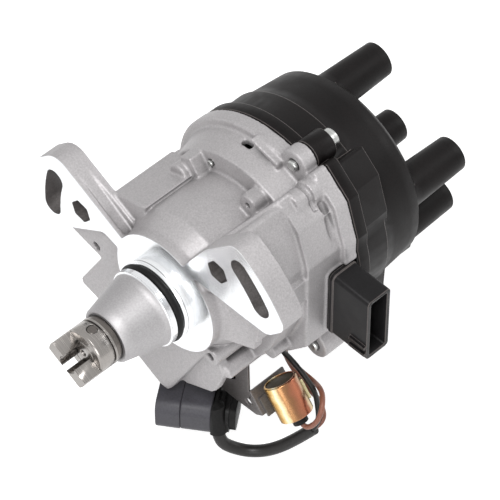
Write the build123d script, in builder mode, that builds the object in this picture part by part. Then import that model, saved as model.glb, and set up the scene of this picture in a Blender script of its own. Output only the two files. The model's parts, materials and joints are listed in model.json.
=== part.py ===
from build123d import *
import os
from math import atan2, cos, degrees, hypot, pi, radians, sin, tan

# Ignition distributor, 1:1 in millimetres.
# The origin is on the shaft axis at the face that bolts to the engine.
# +Y runs along the shaft to the cap, +X to the wiring connector, +Z up.

# Shaft line, all heights are along +Y
SHAFT_R = 6.0
RUN = 0.04              # radial clearance of a turning fit
SEAT = 0.02             # radial clearance of a seat that doesn't turn
FACE = 0.15             # end clearance between a turning and a still face

# Spigot that enters the engine
SPIGOT_R = 17.8
SPIGOT_TOP = 0.0
NOSE_R = 12.35
NOSE_END = -31.7
CONE_TOP = -11.6
CONE_TOP_R = 16.8
BAND_TOP = -9.2
BAND_R = 17.4
RING_R = 1.75           # half the thickness of the O-ring's cord
RING_OUT = 18.0         # outer radius of the O-ring
GROOVE_W = 4.2

# Mounting flange and its two ears
FLANGE_R = 27.5
EAR_T = 11.0
FLANGE_T = 5.0
SLOT_MID_R = 65.8
SLOT_W = 9.2
SLOT_RIGHT = (30.7, 53.5)    # end angles of the slots, degrees
SLOT_LEFT = (161.0, 184.0)
HEX_R = 49.4
HEX_RIGHT = 51.7
HEX_LEFT = 168.4
HEX_W = 11.0                 # across the corners

# Neck and bowl of the casting
NECK_R = 32.0
NECK_START = 13.0
BOWL_START = 41.7
BOWL_FRONT_R = 41.8
BOWL_BACK_R = 45.0
RIM_FRONT = 54.0
RIM_BACK = 60.5
RIM_R = 48.8
WALL = 3.5
BOWL_FLOOR = 44.0
SHELF = 59.2                 # ledge that carries the dust shield

# Bores in the casting
SEAL_R = 9.8
SEAL_H = 4.4
BUSH_R = 8.4
BUSH_END = -8.0
CHAMBER_R = 12.6
CHAMBER_START = 3.0
BEARING_R = 14.0
BEARING_BORE = 6.0
BEARING_START = 31.0
BEARING_W = 8.0
WELL_R = 26.0

# Cap screws
SCREW_PLACES = ((51.0, 70.0), (51.0, 190.0), (55.5, 310.0))    # radius, angle
LUG_FRONTS = (54.0, 54.0, 49.0)
LUG_R = 6.7
LUG_BACK = 71.5
SCREW_R = 2.5
SCREW_REACH = 1.6            # how far a cap screw stands out of its lug
SCREW_HEAD_R = 4.2
SCREW_HEAD_H = 4.2
SCREW_FLANGE_R = 5.2

# Side compartment, as seen along the shaft (X, Z)
COMP_FRONT = 11.0
COMP_TOP_IN = (13.0, 29.0)
COMP_TOP_OUT = (28.0, 48.0)
COMP_SHOULDER = (38.5, 38.5)
COMP_SIDE_X = 44.0
COMP_SIDE_TOP = 21.0
COMP_SIDE_LOW = -26.0
COMP_LOW_OUT = (33.0, -38.5)
COMP_LOW_IN = (14.0, -28.0)
COMP_STEP = 36.0             # behind this height the compartment is at its full size
FRONT_SHOULDER = (36.5, 36.5)
FRONT_SIDE_X = 41.5
FRONT_LOW = ((41.5, -4.0), (36.0, -8.0), (24.0, -13.0), (14.0, -16.0))
MIDDLE_START = 24.0
MIDDLE_LOW = ((41.5, -8.0), (35.5, -24.0), (32.5, -29.0), (14.0, -24.0))
FRONT_WALL = 2.5
RIM_GROW = 2.6

# Main connector, along +X
PLUG_Y = 53.2
PLUG_Z = -6.5
PLUG_W = 12.6                # along Y
PLUG_L = 35.0                # along Z
PLUG_WALL = 1.8
PLUG_BASE_X = 47.4
PLUG_MOUTH_X = 66.5
PLUG_FLANGE_T = 1.8
PLUG_FLANGE_GROW = 0.6
GASKET_T = 0.8
PIN_COUNT = 6
PIN_PITCH = 4.7

# Cap
CAP_GASKET_T = 0.8
CAP_START = RIM_BACK + CAP_GASKET_T
CAP_BAND = 66.8
CAP_STEP = 79.0
CAP_TOP = 102.0
CAP_BAND_R = 48.5
CAP_BODY_R = 46.5
CAP_TOP_R = 42.6
CAP_WALL = 3.0
CAP_ROOF = 4.0
TOWER_R = 33.8
TOWER_ANGLES = (107.0, 195.0, 325.0, 15.0)
POST_ANGLES = (105.0, 195.0, 285.0, 15.0)
TOWER_TIP = 130.0
TOWER_TIP_R = 7.9
TOWER_FOOT_R = 9.0
TOWER_BORE_R = 4.4
CENTRE_TIP = 131.0
CENTRE_TIP_R = 7.3
TOWER_FLOOR = 106.0

# Rotor and its contacts
ELECTRODE_TIP_R = 29.4
SPARK_GAP = 0.8
ROTOR_START = 61.0
ROTOR_PLATE = 74.0
ROTOR_PLATE_T = 4.0
ELECTRODE_T = 1.2
BRUSH_R = 2.5
BRUSH_L = 10.0
GUIDE_START = 84.0           # where the brush's guide starts, below the roof
GUIDE_R = 6.5

# Driving dogs at the end of the shaft
DOG_R = 10.5
DOG_FRONT = -43.4
DOG_BACK = -34.4
DOG_TIP = -52.0
DOG_W = 6.4
DOG_ROOT_R = 4.2
DOG_ANGLE = 152.0
DOG_OFFSET = 0.8
CROSS_PIN_R = 2.3
CROSS_PIN_Y = -38.4

# Lower part of the casting
WEB_FRONT = 4.0
WEB_T = 4.5
BOX_BACK = 22.0
BOX_LEFT = -40.0
BOX_RIGHT = 25.0
BOX_LOW = -54.0

# Condenser and the sheet bracket that carries it
TILT = 39.0                  # lean of the condenser from straight down, towards +X
CAN_R = 7.45
CAN_L = 17.0
CAN_MID = (38.1, 32.0, -60.2)
SHEET_T = 1.2
CLIP_T = 1.0
BRACKET_Y = BOX_BACK

# Two-way pigtail plug below the housing
TAIL_MID = (2.4, 12.0, -79.6)
TAIL_TURN = 36.0             # turned this much from +X towards +Y
TAIL_HALF_H = 8.2
TAIL_HALF_W = 9.4
TAIL_FRONT_L = 14.5          # from its middle to the front
TAIL_BACK_L = 9.0            # from its middle to the back of the hard shell
SLEEVE_R = 2.7
WIRE_R = 1.15
GROMMET_Y = 41.1
GROMMET_R = 4.6
EXIT_ALONG = 4.6             # from the compartment's low outer corner to the leads
LEAD_SPACE = 3.0             # between the three leads where they leave the housing
LEAD_RUN = 8.0               # straight run of each lead outside the wall
SLEEVE_ROUTE = ((17.1, 12.2, -84.0), (18.6, 11.5, -89.0), (22.3, 15.8, -94.0), (28.0, 21.5, -96.5),
                (34.8, 27.0, -93.5), (41.9, 33.0, -85.6), (47.3, 38.0, -77.6))
BLACK_ROUTE = ((27.4, 40.8, -53.0), (36.5, 42.0, -55.0), (43.6, 42.4, -60.0), (46.6, 42.2, -66.5),
               (50.64, 39.68, -72.66), (47.65, 36.91, -77.06))
BROWN_ROUTE = ((21.6, 45.6, -57.0), (26.0, 47.5, -67.0), (35.0, 47.5, -71.5), (43.0, 46.0, -70.5),
               (49.99, 41.9, -73.62), (47.0, 39.13, -78.02))
CONDENSER_ROUTE = ((23.6, 43.6, -55.0), (30.8, 46.5, -61.0), (40.0, 47.2, -60.5), (48.5, 43.5, -54.0),
                   (54.8, 37.5, -55.5), (56.4, 33.6, -62.0), (55.6, 32.0, -69.0), (52.6, 32.0, -73.4),
                   (48.8, 32.0, -73.4), (45.67, 32.0, -69.55))

# Outer details of the casting
WELL_START = COMP_FRONT + 4.5
FILL_LOW = -12.0
FILL_HIGH = 24.0
SIDE_BARS = (                  # place, radius, start, end
    ((20.0, -27.0), 4.3, 5.5, 24.5),
    ((31.0, -32.4), 3.8, 27.5, COMP_STEP - 0.6),
)
TUBE_MID = (28.6, 43.4)
TUBE_R = 5.6
TUBE_CORE_R = 3.8
TUBE_FRONT = 41.0
TUBE_GAP = 46.8
TUBE_GAP_W = 2.6
DRILLED_BOSS = (11.6, 34.4)
LEDGE_START = 9.5
LEDGE_END = 29.5
FLANGE_LUG = (21.9, 21.9)
BLIND_HOLES = (                # place, radius, front height, depth
    ((20.0, -27.0), 1.8, 5.5, 5.0),
    (DRILLED_BOSS, 1.3, 34.5, 5.0),
    (FLANGE_LUG, 1.5, 2.0, 5.0),
    ((-45.0, -12.2), 2.0, 4.0, 6.0),
    ((-16.6, 30.2), 1.1, 41.7, 1.6),
)

TOWARDS_CAP = (0, 1, 0)


def across(y):
    """The plane square to the shaft at height y, with X to the right and Z up."""
    return Plane(origin=(0, y, 0), x_dir=(1, 0, 0), z_dir=(0, -1, 0))


def polar(radius, angle):
    """A point across the shaft, at this radius and angle from +X towards +Z."""
    return (radius * cos(radians(angle)), radius * sin(radians(angle)))


def at(radius, angle, y):
    """The same point in space, at height y along the shaft."""
    x, z = polar(radius, angle)
    return (x, y, z)


def connector_plane(x):
    """Square to +X, with Y to the right and Z up."""
    return Plane(origin=(x, 0, 0), x_dir=(0, 1, 0), z_dir=(1, 0, 0))


def turned(outline, mode=Mode.ADD):
    """Turn a closed outline of (radius, height) points about the shaft axis."""
    with BuildSketch(Plane.XY) as profile:
        with BuildLine():
            Polyline(*outline, close=True)
        make_face()
    revolve(profile.sketch, axis=Axis.Y, mode=mode)


def tube(outer, inner, start, end, mode=Mode.ADD):
    """A plain ring about the shaft axis."""
    turned([(inner, start), (outer, start), (outer, end), (inner, end)], mode)


def disc(radius, start, end, mode=Mode.ADD):
    """A plain disc on the shaft axis."""
    with BuildSketch(across(start)) as face:
        Circle(radius)
    extrude(face.sketch, amount=end - start, dir=TOWARDS_CAP, mode=mode)


def round_bar(centre, radius, start, end, mode=Mode.ADD):
    """A round bar along +Y at one (X, Z) place."""
    with BuildSketch(across(start)) as face:
        with Locations(centre):
            Circle(radius)
    extrude(face.sketch, amount=end - start, dir=TOWARDS_CAP, mode=mode)


def prism(points, start, end, mode=Mode.ADD, corner=0.0):
    """A block along +Y with this (X, Z) outline, its corners rounded if wanted."""
    with BuildSketch(across(start)) as face:
        with BuildLine():
            Polyline(*points, close=True)
        make_face()
        if corner > 0:
            fillet(face.vertices(), corner)
    extrude(face.sketch, amount=end - start, dir=TOWARDS_CAP, mode=mode)


def rod(start, end, radius, mode=Mode.ADD):
    """A round rod from one point in space to another."""
    way = Vector(*end) - Vector(*start)
    with BuildSketch(Plane(origin=start, z_dir=way)) as face:
        Circle(radius)
    extrude(face.sketch, amount=way.length, mode=mode)


def screw(shank_r, length, head_r, head_h, washer_r=0.0):
    """A screw with its head up +Z and its seat at the origin."""
    seat = 0.8 if washer_r > 0 else 0.0
    with BuildPart() as made:
        with BuildSketch(Plane.XY.offset(-length)):
            Circle(shank_r)
        extrude(amount=length)
        if washer_r > 0:
            with BuildSketch(Plane.XY):
                Circle(washer_r)
            extrude(amount=seat)
        with BuildSketch(Plane.XY.offset(seat)):
            Circle(head_r)
        extrude(amount=head_h - seat)
        fillet(made.faces().sort_by(Axis.Z)[-1].edges(), head_h * 0.2)
        with BuildSketch(Plane.XY.offset(head_h)):
            Rectangle(head_r * 1.1, head_r * 0.3)
            Rectangle(head_r * 0.3, head_r * 1.1)
        extrude(amount=-head_h * 0.45, mode=Mode.SUBTRACT)
        chamfer(made.faces().sort_by(Axis.Z)[0].edges(), shank_r * 0.25)
    return made.part


def lug(radius, angle, start, end, size):
    """A screw lug: a round bar and the web that joins it to the bowl."""
    round_bar(polar(radius, angle), size, start, end)
    with BuildSketch(Plane.XY) as web:
        with Locations((radius - 7, 0)):
            Rectangle(14, 2 * size)
    with BuildSketch(across(start)) as placed:
        add(web.sketch, rotation=angle)
    extrude(placed.sketch, amount=end - start, dir=TOWARDS_CAP)


def save(piece, name):
    piece.label = name
    export_step(piece, f"parts/{name}.step")


os.makedirs("parts", exist_ok=True)

groove_floor = RING_OUT - 2 * RING_R
groove_start = BAND_TOP
groove_end = groove_start + GROOVE_W
ring_y = (groove_start + groove_end) / 2
bush_start = NOSE_END + SEAL_H
bearing_end = BEARING_START + BEARING_W
bearing_mid = BEARING_START + BEARING_W / 2
screw_spots = [polar(*place) for place in SCREW_PLACES]
keeper_spots = [polar(18.0, a) for a in (60, 180, 300)]
plate_spots = [polar(36.0, a) for a in (117, 175, 255)]
bracket_spot = (12.0, -47.0)
tail_top = TAIL_MID[2] + TAIL_HALF_H
pad_x = PLUG_BASE_X - PLUG_FLANGE_T - GASKET_T
comp_outline = [
    COMP_TOP_IN,
    COMP_TOP_OUT,
    COMP_SHOULDER,
    (COMP_SIDE_X, COMP_SIDE_TOP),
    (COMP_SIDE_X, COMP_SIDE_LOW),
    COMP_LOW_OUT,
    COMP_LOW_IN,
]
front_outline = [
    COMP_TOP_IN,
    COMP_TOP_OUT,
    FRONT_SHOULDER,
    (FRONT_SIDE_X, COMP_SIDE_TOP),
    *FRONT_LOW,
]
middle_outline = [*front_outline[:-len(FRONT_LOW)], *MIDDLE_LOW]
wall_way = Vector(COMP_LOW_IN[0] - COMP_LOW_OUT[0], 0, COMP_LOW_IN[1] - COMP_LOW_OUT[1]).normalized()
exit_way = Vector(-wall_way.Z, 0, wall_way.X)
exit_mid = Vector(COMP_LOW_OUT[0], GROMMET_Y, COMP_LOW_OUT[1]) + wall_way * EXIT_ALONG
lead_starts = [exit_mid - exit_way * WALL + Vector(0, n * LEAD_SPACE, 0) for n in (-1, 0, 1)]
down = (sin(radians(TILT)), 0, -cos(radians(TILT)))
out = (cos(radians(TILT)), 0, sin(radians(TILT)))


def compartment_face(grow, outline=comp_outline):
    """The side compartment's outline, grown or shrunk by this much."""
    with BuildSketch(Plane.XY) as face:
        with BuildLine():
            Polyline(*outline, close=True)
        make_face()
        offset(amount=grow, kind=Kind.INTERSECTION)
        fillet(face.vertices(), 2.0)
    return face.sketch


def rim_face(shrink):
    """The outline that the casting's rim, the gasket and the cap share."""
    with BuildSketch(Plane.XY) as face:
        Circle(RIM_R - shrink)
        with Locations(*screw_spots):
            Circle(LUG_R - shrink)
        for radius, angle in SCREW_PLACES:
            with BuildSketch(Plane.XY, mode=Mode.PRIVATE) as neck:
                with Locations((radius - 12, 0)):
                    Rectangle(24, 2 * (LUG_R - shrink))
            add(neck.sketch, rotation=angle)
        add(compartment_face(RIM_GROW - shrink))
    return face.sketch


# Housing: one aluminium casting, spigot, ears, neck, bowl and side compartment
with BuildPart() as housing:
    turned([
        (0, NOSE_END), (NOSE_R - 0.8, NOSE_END), (NOSE_R, NOSE_END + 0.8), (CONE_TOP_R, CONE_TOP),
        (BAND_R, CONE_TOP), (BAND_R, BAND_TOP), (groove_floor, BAND_TOP), (groove_floor, groove_end),
        (SPIGOT_R, groove_end), (SPIGOT_R, SPIGOT_TOP), (FLANGE_R, SPIGOT_TOP), (FLANGE_R, FLANGE_T),
        (NECK_R, NECK_START), (NECK_R, BOWL_START), (BOWL_FRONT_R, BOWL_START),
        (BOWL_BACK_R, RIM_FRONT), (RIM_R, RIM_FRONT), (RIM_R, RIM_BACK), (0, RIM_BACK),
    ])
    # right ear
    with BuildSketch(across(0)) as right_ear:
        with BuildLine():
            Polyline((67.5, 35.0), (58.0, 24.4), (20.0, 23.7), (8.0, 20.0), (10.0, 24.0),
                     (24.0, 46.5), (39.5, 62.0))
            ThreePointArc((39.5, 62.0), polar(75.5, 42.0), (67.5, 35.0))
        make_face()
        for corner, size in (((39.5, 62.0), 6.0), ((67.5, 35.0), 6.0), ((58.0, 24.4), 8.0)):
            fillet(right_ear.vertices().sort_by_distance((*corner, 0))[0], size)
    extrude(amount=-EAR_T)
    # left ear
    with BuildSketch(across(0)) as left_ear:
        with BuildLine():
            Polyline((-72.5, -8.5), (-55.2, -5.3), (-35.4, 8.0), (-14.0, 2.0), (-12.0, 20.0),
                     (-22.0, 11.5), (-62.5, 32.5), (-74.0, 21.5))
            ThreePointArc((-74.0, 21.5), polar(76.8, 173.0), (-72.5, -8.5))
        make_face()
        for corner, size in (((-62.5, 32.5), 9.0), ((-74.0, 21.5), 9.0), ((-72.5, -8.5), 5.0),
                             ((-35.4, 8.0), 4.0)):
            fillet(left_ear.vertices().sort_by_distance((*corner, 0))[0], size)
    extrude(amount=-EAR_T)
    # side compartment and the rim that the cap sits on
    with BuildSketch(across(COMP_FRONT)) as comp_front:
        add(compartment_face(0, front_outline))
    extrude(amount=-(RIM_BACK - COMP_FRONT))
    with BuildSketch(across(MIDDLE_START)) as comp_middle:
        add(compartment_face(0, middle_outline))
    extrude(amount=-(RIM_BACK - MIDDLE_START))
    with BuildSketch(across(COMP_STEP)) as comp_back:
        add(compartment_face(0))
    extrude(amount=-(RIM_BACK - COMP_STEP))
    with BuildSketch(across(RIM_FRONT)) as rim:
        add(rim_face(0))
    extrude(amount=-(RIM_BACK - RIM_FRONT))
    # screw lugs, some of which reach forward of the rim
    for (radius, angle), front in zip(SCREW_PLACES, LUG_FRONTS):
        lug(radius, angle, front, RIM_BACK, LUG_R)
    # web between the left ear and the bowl
    prism([(-20.0, 27.0), (-40.0, 20.0), (-42.0, 14.0), (-24.0, 16.0)], EAR_T - 1, BOWL_START + 1)
    # lower web plate and the box behind it
    prism([(-60.0, -12.7), (-42.3, -17.0), (-55.7, -41.0), (-55.0, -43.5), (-43.8, -46.5),
           (-22.6, -62.2), (-8.3, -69.3), (-4.5, -69.0), (-2.2, -65.8), (18.7, -25.0),
           (10.0, 0.0), (-30.0, 0.0), (-56.0, 0.0)], WEB_FRONT, WEB_FRONT + WEB_T)
    prism([(BOX_LEFT, -18.0), (BOX_LEFT, -40.0), (BOX_LEFT + 12, BOX_LOW + 4), (-20.0, BOX_LOW),
           (8.0, BOX_LOW), (BOX_RIGHT - 2, -40.0), (BOX_RIGHT - 6, -31.0), (BOX_RIGHT - 8, -18.0)],
          WEB_FRONT + WEB_T - 0.5, BOX_BACK, corner=2.0)
    # skirt that reaches down to the right behind the web
    prism([(BOX_RIGHT - 8, -20.0), (25.0, -37.0), (20.2, -51.0), (17.6, -54.0), (3.0, -61.5), (-8.0, -62.0)],
          WEB_FRONT + WEB_T - 0.5, WEB_FRONT + WEB_T + 4, corner=1.5)
    # pad for the main connector
    with BuildSketch(connector_plane(COMP_SIDE_X - 3)):
        with Locations((PLUG_Y, PLUG_Z)):
            RectangleRounded(PLUG_W + 2 * PLUG_FLANGE_GROW, PLUG_L + 2 * PLUG_FLANGE_GROW, 3.0)
    extrude(amount=pad_x - COMP_SIDE_X + 3)

    # sloping wall between the flange, the right ear and the compartment
    with BuildSketch(Plane.XY.offset(FILL_LOW)) as fill:
        with BuildLine():
            Polyline((14.0, 4.5), (25.0, 6.5), (FRONT_SIDE_X - 3, COMP_FRONT + 1),
                     (FRONT_SIDE_X - 3, COMP_FRONT + 6), (14.0, COMP_FRONT + 6), close=True)
        make_face()
    extrude(fill.sketch, amount=FILL_HIGH - FILL_LOW)
    # bars along the shaft below the compartment, a ledge and a rib
    for place, radius, start, end in SIDE_BARS:
        round_bar(place, radius, start, end)
    prism([(17.0, -33.0), (24.2, -33.6), (27.4, -36.0), (27.6, -38.2), (25.4, -39.6), (20.0, -38.4)],
          LEDGE_START, LEDGE_END)
    prism([(14.0, -22.0), (32.0, -24.0), (32.0, -31.0), (27.4, -37.0), (19.0, -37.0)],
          MIDDLE_START, COMP_STEP - 0.6)
    # parting rib from the ear up to the tube boss, and the boss in two parts
    rod((20.8, COMP_FRONT - 2.0, 39.4), (27.6, TUBE_FRONT + 1, 48.0), 1.3)
    round_bar(TUBE_MID, TUBE_R - 0.7, TUBE_FRONT, TUBE_GAP)
    round_bar(TUBE_MID, TUBE_CORE_R, TUBE_GAP, TUBE_GAP + TUBE_GAP_W)
    round_bar(TUBE_MID, TUBE_R, TUBE_GAP + TUBE_GAP_W, RIM_BACK)
    # lump and rib on the bowl's front, to the left
    round_bar(polar(35.5, 136.0), 4.8, 32.0, BOWL_START + 1)
    prism([polar(31.0, 121.0), polar(41.0, 122.5), polar(42.0, 132.0), polar(31.0, 133.0)],
          BOWL_START - 6.5, BOWL_START + 2)
    # drilled boss on the neck
    round_bar(DRILLED_BOSS, 4.6, 34.5, BOWL_START + 1)
    prism([polar(30.0, 66.0), polar(39.0, 66.0), polar(40.0, 77.5), polar(30.0, 79.0)], 36.5, BOWL_START + 1)
    # rib in the hollow below the upper screw's lug
    prism([(-3.0, 49.6), (-2.0, 47.6), (12.0, 43.5), (12.0, 46.0)], 50.5, RIM_FRONT + 1)
    # lug with a tapped hole beside the flange, and one on the side wall
    round_bar(FLANGE_LUG, 3.4, 2.0, COMP_FRONT + 2)
    with BuildSketch(connector_plane(FRONT_SIDE_X - 1)):
        with Locations((31.5, 9.5)):
            Rectangle(9.0, 12.0)
    extrude(amount=3.0)

    # bores along the shaft
    turned([
        (0, NOSE_END - 1), (SEAL_R, NOSE_END - 1), (SEAL_R, bush_start), (BUSH_R, bush_start),
        (BUSH_R, BUSH_END), (SHAFT_R + 1.4, BUSH_END), (SHAFT_R + 1.4, CHAMBER_START),
        (CHAMBER_R, CHAMBER_START), (CHAMBER_R, BEARING_START), (BEARING_R, BEARING_START),
        (BEARING_R, bearing_end), (WELL_R, bearing_end), (WELL_R, BOWL_FLOOR),
        (BOWL_BACK_R - WALL, BOWL_FLOOR), (BOWL_BACK_R - WALL, SHELF),
        (RIM_R - WALL - 2, SHELF), (RIM_R - WALL - 2, RIM_BACK + 1), (0, RIM_BACK + 1),
    ], Mode.SUBTRACT)
    # the compartment's own well, beside the neck
    with BuildSketch(across(WELL_START)) as front_well:
        add(compartment_face(-FRONT_WALL, front_outline))
        Circle(NECK_R, mode=Mode.SUBTRACT)
    extrude(amount=-(RIM_BACK - COMP_FRONT), mode=Mode.SUBTRACT)
    with BuildSketch(across(COMP_STEP + WALL)) as back_well:
        add(compartment_face(-WALL))
        Circle(NECK_R, mode=Mode.SUBTRACT)
    extrude(amount=-(RIM_BACK - COMP_STEP), mode=Mode.SUBTRACT)
    # slots and hexagons in the ears
    with BuildSketch(across(-1)) as ear_holes:
        for first, last in (SLOT_RIGHT, SLOT_LEFT):
            inset = degrees(SLOT_W / 2 / SLOT_MID_R)
            with BuildSketch(Plane.XY, mode=Mode.PRIVATE) as slot:
                with BuildLine() as middle:
                    CenterArc((0, 0), SLOT_MID_R, first + inset, last - first - 2 * inset)
                SlotArc(middle.edges()[0], SLOT_W)
            add(slot.sketch)
        for angle in (HEX_RIGHT, HEX_LEFT):
            with Locations(polar(HEX_R, angle)):
                RegularPolygon(HEX_W / 2, 6, rotation=angle)
    extrude(amount=-(EAR_T + 2), mode=Mode.SUBTRACT)
    # screw holes in the lugs
    for place, front in zip(screw_spots, LUG_FRONTS):
        round_bar(place, SCREW_R + SEAT, front - 3, RIM_BACK + 1, Mode.SUBTRACT)
    # screw holes of the keeper and of the pickup's plate
    for place in keeper_spots:
        round_bar(place, 1.5 + SEAT, bearing_end - 6, bearing_end + 1, Mode.SUBTRACT)
    for place in plate_spots:
        round_bar(place, 1.5 + SEAT, BOWL_START - 1, BOWL_FLOOR + 1, Mode.SUBTRACT)
    # boss for the bracket's screw
    round_bar(bracket_spot, 4.5, WEB_FRONT + WEB_T, BOX_BACK)
    round_bar(bracket_spot, 2.0 + SEAT, BOX_BACK - 9, BOX_BACK + 1, Mode.SUBTRACT)
    # notch in the rim where the connector stands
    with BuildSketch(connector_plane(pad_x)):
        with Locations((RIM_BACK + 1 - 8.0, PLUG_Z)):
            Rectangle(16.0, PLUG_L + 2 * PLUG_FLANGE_GROW + 0.4)
    extrude(amount=5, mode=Mode.SUBTRACT)
    # blind holes in the bosses and in the lower plate
    for place, radius, start, depth in BLIND_HOLES:
        round_bar(place, radius, start - 1, start + depth, Mode.SUBTRACT)
    # groove around the tube boss
    with BuildSketch(across(TUBE_GAP)) as tube_gap:
        with Locations(TUBE_MID):
            Circle(TUBE_R + 2.5)
            Circle(TUBE_CORE_R, mode=Mode.SUBTRACT)
        add(compartment_face(-1.2), mode=Mode.SUBTRACT)
    extrude(amount=-TUBE_GAP_W, mode=Mode.SUBTRACT)
    # dark slit between the side wall and the rim
    prism([(34.5, 44.5), (44.0, 28.5), (46.0, 24.0), (43.4, 23.6), (33.8, 40.6)],
          RIM_FRONT - 4, RIM_FRONT - 0.8, Mode.SUBTRACT)
    # oblong vent in the bowl's wall
    with BuildSketch(Plane(origin=at(BOWL_BACK_R + 2, 97.5, 51.6), x_dir=TOWARDS_CAP,
                           z_dir=at(1, 97.5, 0))) as vent:
        RectangleRounded(2.8, 5.6, 1.2)
    extrude(vent.sketch, amount=-4.2, mode=Mode.SUBTRACT)
    # sloping hollow in the upper side of the left ear
    prism([(-56.0, 29.4), (-25.0, 13.4), (-25.0, 9.9)], 2.2, 7.8, Mode.SUBTRACT)
    # hole for the leads' grommet
    rod(tuple(exit_mid - exit_way * 12), tuple(exit_mid + exit_way * 4), GROMMET_R, Mode.SUBTRACT)
    # window for the connector's pins
    with BuildSketch(connector_plane(pad_x + 1)):
        with Locations((PLUG_Y - 1.5, PLUG_Z)):
            Rectangle(PLUG_W - 5.6, PLUG_L - 5)
    extrude(amount=-12, mode=Mode.SUBTRACT)
save(housing.part, "housing")

# O-ring in the spigot's groove
with BuildPart() as o_ring:
    with BuildSketch(Plane.XY):
        with Locations((RING_OUT - RING_R, ring_y)):
            Circle(RING_R - SEAT)
    revolve(axis=Axis.Y)
save(o_ring.part, "spigot_o_ring")

# Oil seal in the nose: steel case and lip in one moulding
with BuildPart() as seal:
    turned([
        (SEAL_R - SEAT, NOSE_END + 0.4), (SEAL_R - SEAT, bush_start - 0.1), (SHAFT_R + 2.2, bush_start - 0.1),
        (SHAFT_R + 1.5, bush_start - 1.8), (SHAFT_R + RUN, bush_start - 2.4),
        (SHAFT_R + 0.8, bush_start - 3.0),
        (SHAFT_R + 0.8, NOSE_END + 0.4),
    ])
save(seal.part, "oil_seal")

# Sintered bush in the nose
with BuildPart() as bush:
    tube(BUSH_R - SEAT, SHAFT_R + RUN, bush_start, BUSH_END - 0.5)
    chamfer(bush.edges().filter_by(GeomType.CIRCLE), 0.4)
save(bush.part, "shaft_bush")

# Shaft with its shoulder, ring groove and top flat
shoulder_start = BEARING_START - 3.0
ring_groove = bearing_end + 0.1
RETAINER_T = 1.0
shaft_top = ROTOR_PLATE - 1.0
UPPER_R = 5.0
FLAT_DEPTH = 1.2
with BuildPart() as shaft:
    turned([
        (0, DOG_FRONT), (SHAFT_R - 0.6, DOG_FRONT), (SHAFT_R, DOG_FRONT + 0.6), (SHAFT_R, shoulder_start),
        (SHAFT_R + 2.0, shoulder_start), (SHAFT_R + 2.0, BEARING_START), (BEARING_BORE - SEAT, BEARING_START),
        (BEARING_BORE - SEAT, ring_groove), (UPPER_R, ring_groove), (UPPER_R, ring_groove + RETAINER_T),
        (BEARING_BORE - SEAT, ring_groove + RETAINER_T),
        (BEARING_BORE - SEAT, ring_groove + RETAINER_T + 1.2),
        (UPPER_R, ring_groove + RETAINER_T + 1.6), (UPPER_R, shaft_top - 0.6), (UPPER_R - 0.6, shaft_top),
        (0, shaft_top),
    ])
    # flat that keys the rotor
    with BuildSketch(across(ROTOR_START)):
        with Locations((0, -UPPER_R)):
            Rectangle(3 * UPPER_R, 2 * FLAT_DEPTH)
    extrude(amount=-(shaft_top - ROTOR_START + 1), mode=Mode.SUBTRACT)
    # thread hole for the rotor screw and the centre drill at the driven end
    round_bar((0, 0), 1.6 + SEAT, shaft_top - 9.0, shaft_top + 1, Mode.SUBTRACT)
    turned([(0, DOG_FRONT - 1), (1.9, DOG_FRONT - 1), (1.6, DOG_FRONT), (0, DOG_FRONT + 2.6)], Mode.SUBTRACT)
    # cross hole for the coupling's pin
    rod((0, CROSS_PIN_Y, -SHAFT_R - 1), (0, CROSS_PIN_Y, SHAFT_R + 1), CROSS_PIN_R, Mode.SUBTRACT)
save(shaft.part, "shaft")

# Driving dog at the spigot end: a collar with two offset dogs
with BuildPart() as dog:
    turned([
        (SHAFT_R + SEAT, DOG_FRONT), (DOG_R - 0.8, DOG_FRONT), (DOG_R, DOG_FRONT + 0.8),
        (DOG_R, DOG_BACK - 2.2), (DOG_R - 0.9, DOG_BACK - 1.9), (DOG_R - 0.9, DOG_BACK - 1.3),
        (DOG_R, DOG_BACK - 1.0), (DOG_R, DOG_BACK), (SHAFT_R + SEAT, DOG_BACK),
    ])
    with BuildSketch(across(DOG_TIP)) as dogs:
        with Locations(Location((0, 0), DOG_ANGLE)):
            with Locations((0, DOG_OFFSET)):
                Rectangle(2 * DOG_R + 2, DOG_W)
        Circle(DOG_ROOT_R, mode=Mode.SUBTRACT)
        Circle(DOG_R, mode=Mode.INTERSECT)
    extrude(amount=-(DOG_FRONT - DOG_TIP + 1.0))
    disc(SHAFT_R + SEAT, DOG_FRONT, DOG_FRONT + 2, Mode.SUBTRACT)
    rod((0, CROSS_PIN_Y, -DOG_R - 1), (0, CROSS_PIN_Y, DOG_R + 1), CROSS_PIN_R, Mode.SUBTRACT)
save(dog.part, "drive_dog")

# Cross pin through the dog and the shaft
with BuildPart() as cross_pin:
    rod((0, CROSS_PIN_Y, -DOG_R + 0.2), (0, CROSS_PIN_Y, DOG_R - 0.2), CROSS_PIN_R - SEAT)
    chamfer(cross_pin.edges().filter_by(GeomType.CIRCLE), 0.4)
save(cross_pin.part, "dog_pin")

# Thrust washer between the dog and the nose
with BuildPart() as washer:
    tube(DOG_R - 0.4, SHAFT_R + SEAT, DOG_BACK, NOSE_END - FACE)
save(washer.part, "thrust_washer")

# Ball bearing in the neck
BALL_R = 2.3
BALL_PITCH_R = 10.0
BALL_COUNT = 8
RACE_GAP = 1.4
with BuildPart() as outer_race:
    tube(BEARING_R - SEAT, BALL_PITCH_R + RACE_GAP, BEARING_START + 0.02, bearing_end - 0.02)
    with BuildSketch(Plane.XY):
        with Locations((BALL_PITCH_R, bearing_mid)):
            Circle(BALL_R + 0.06)
    revolve(axis=Axis.Y, mode=Mode.SUBTRACT)
save(outer_race.part, "bearing_outer_race")

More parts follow.
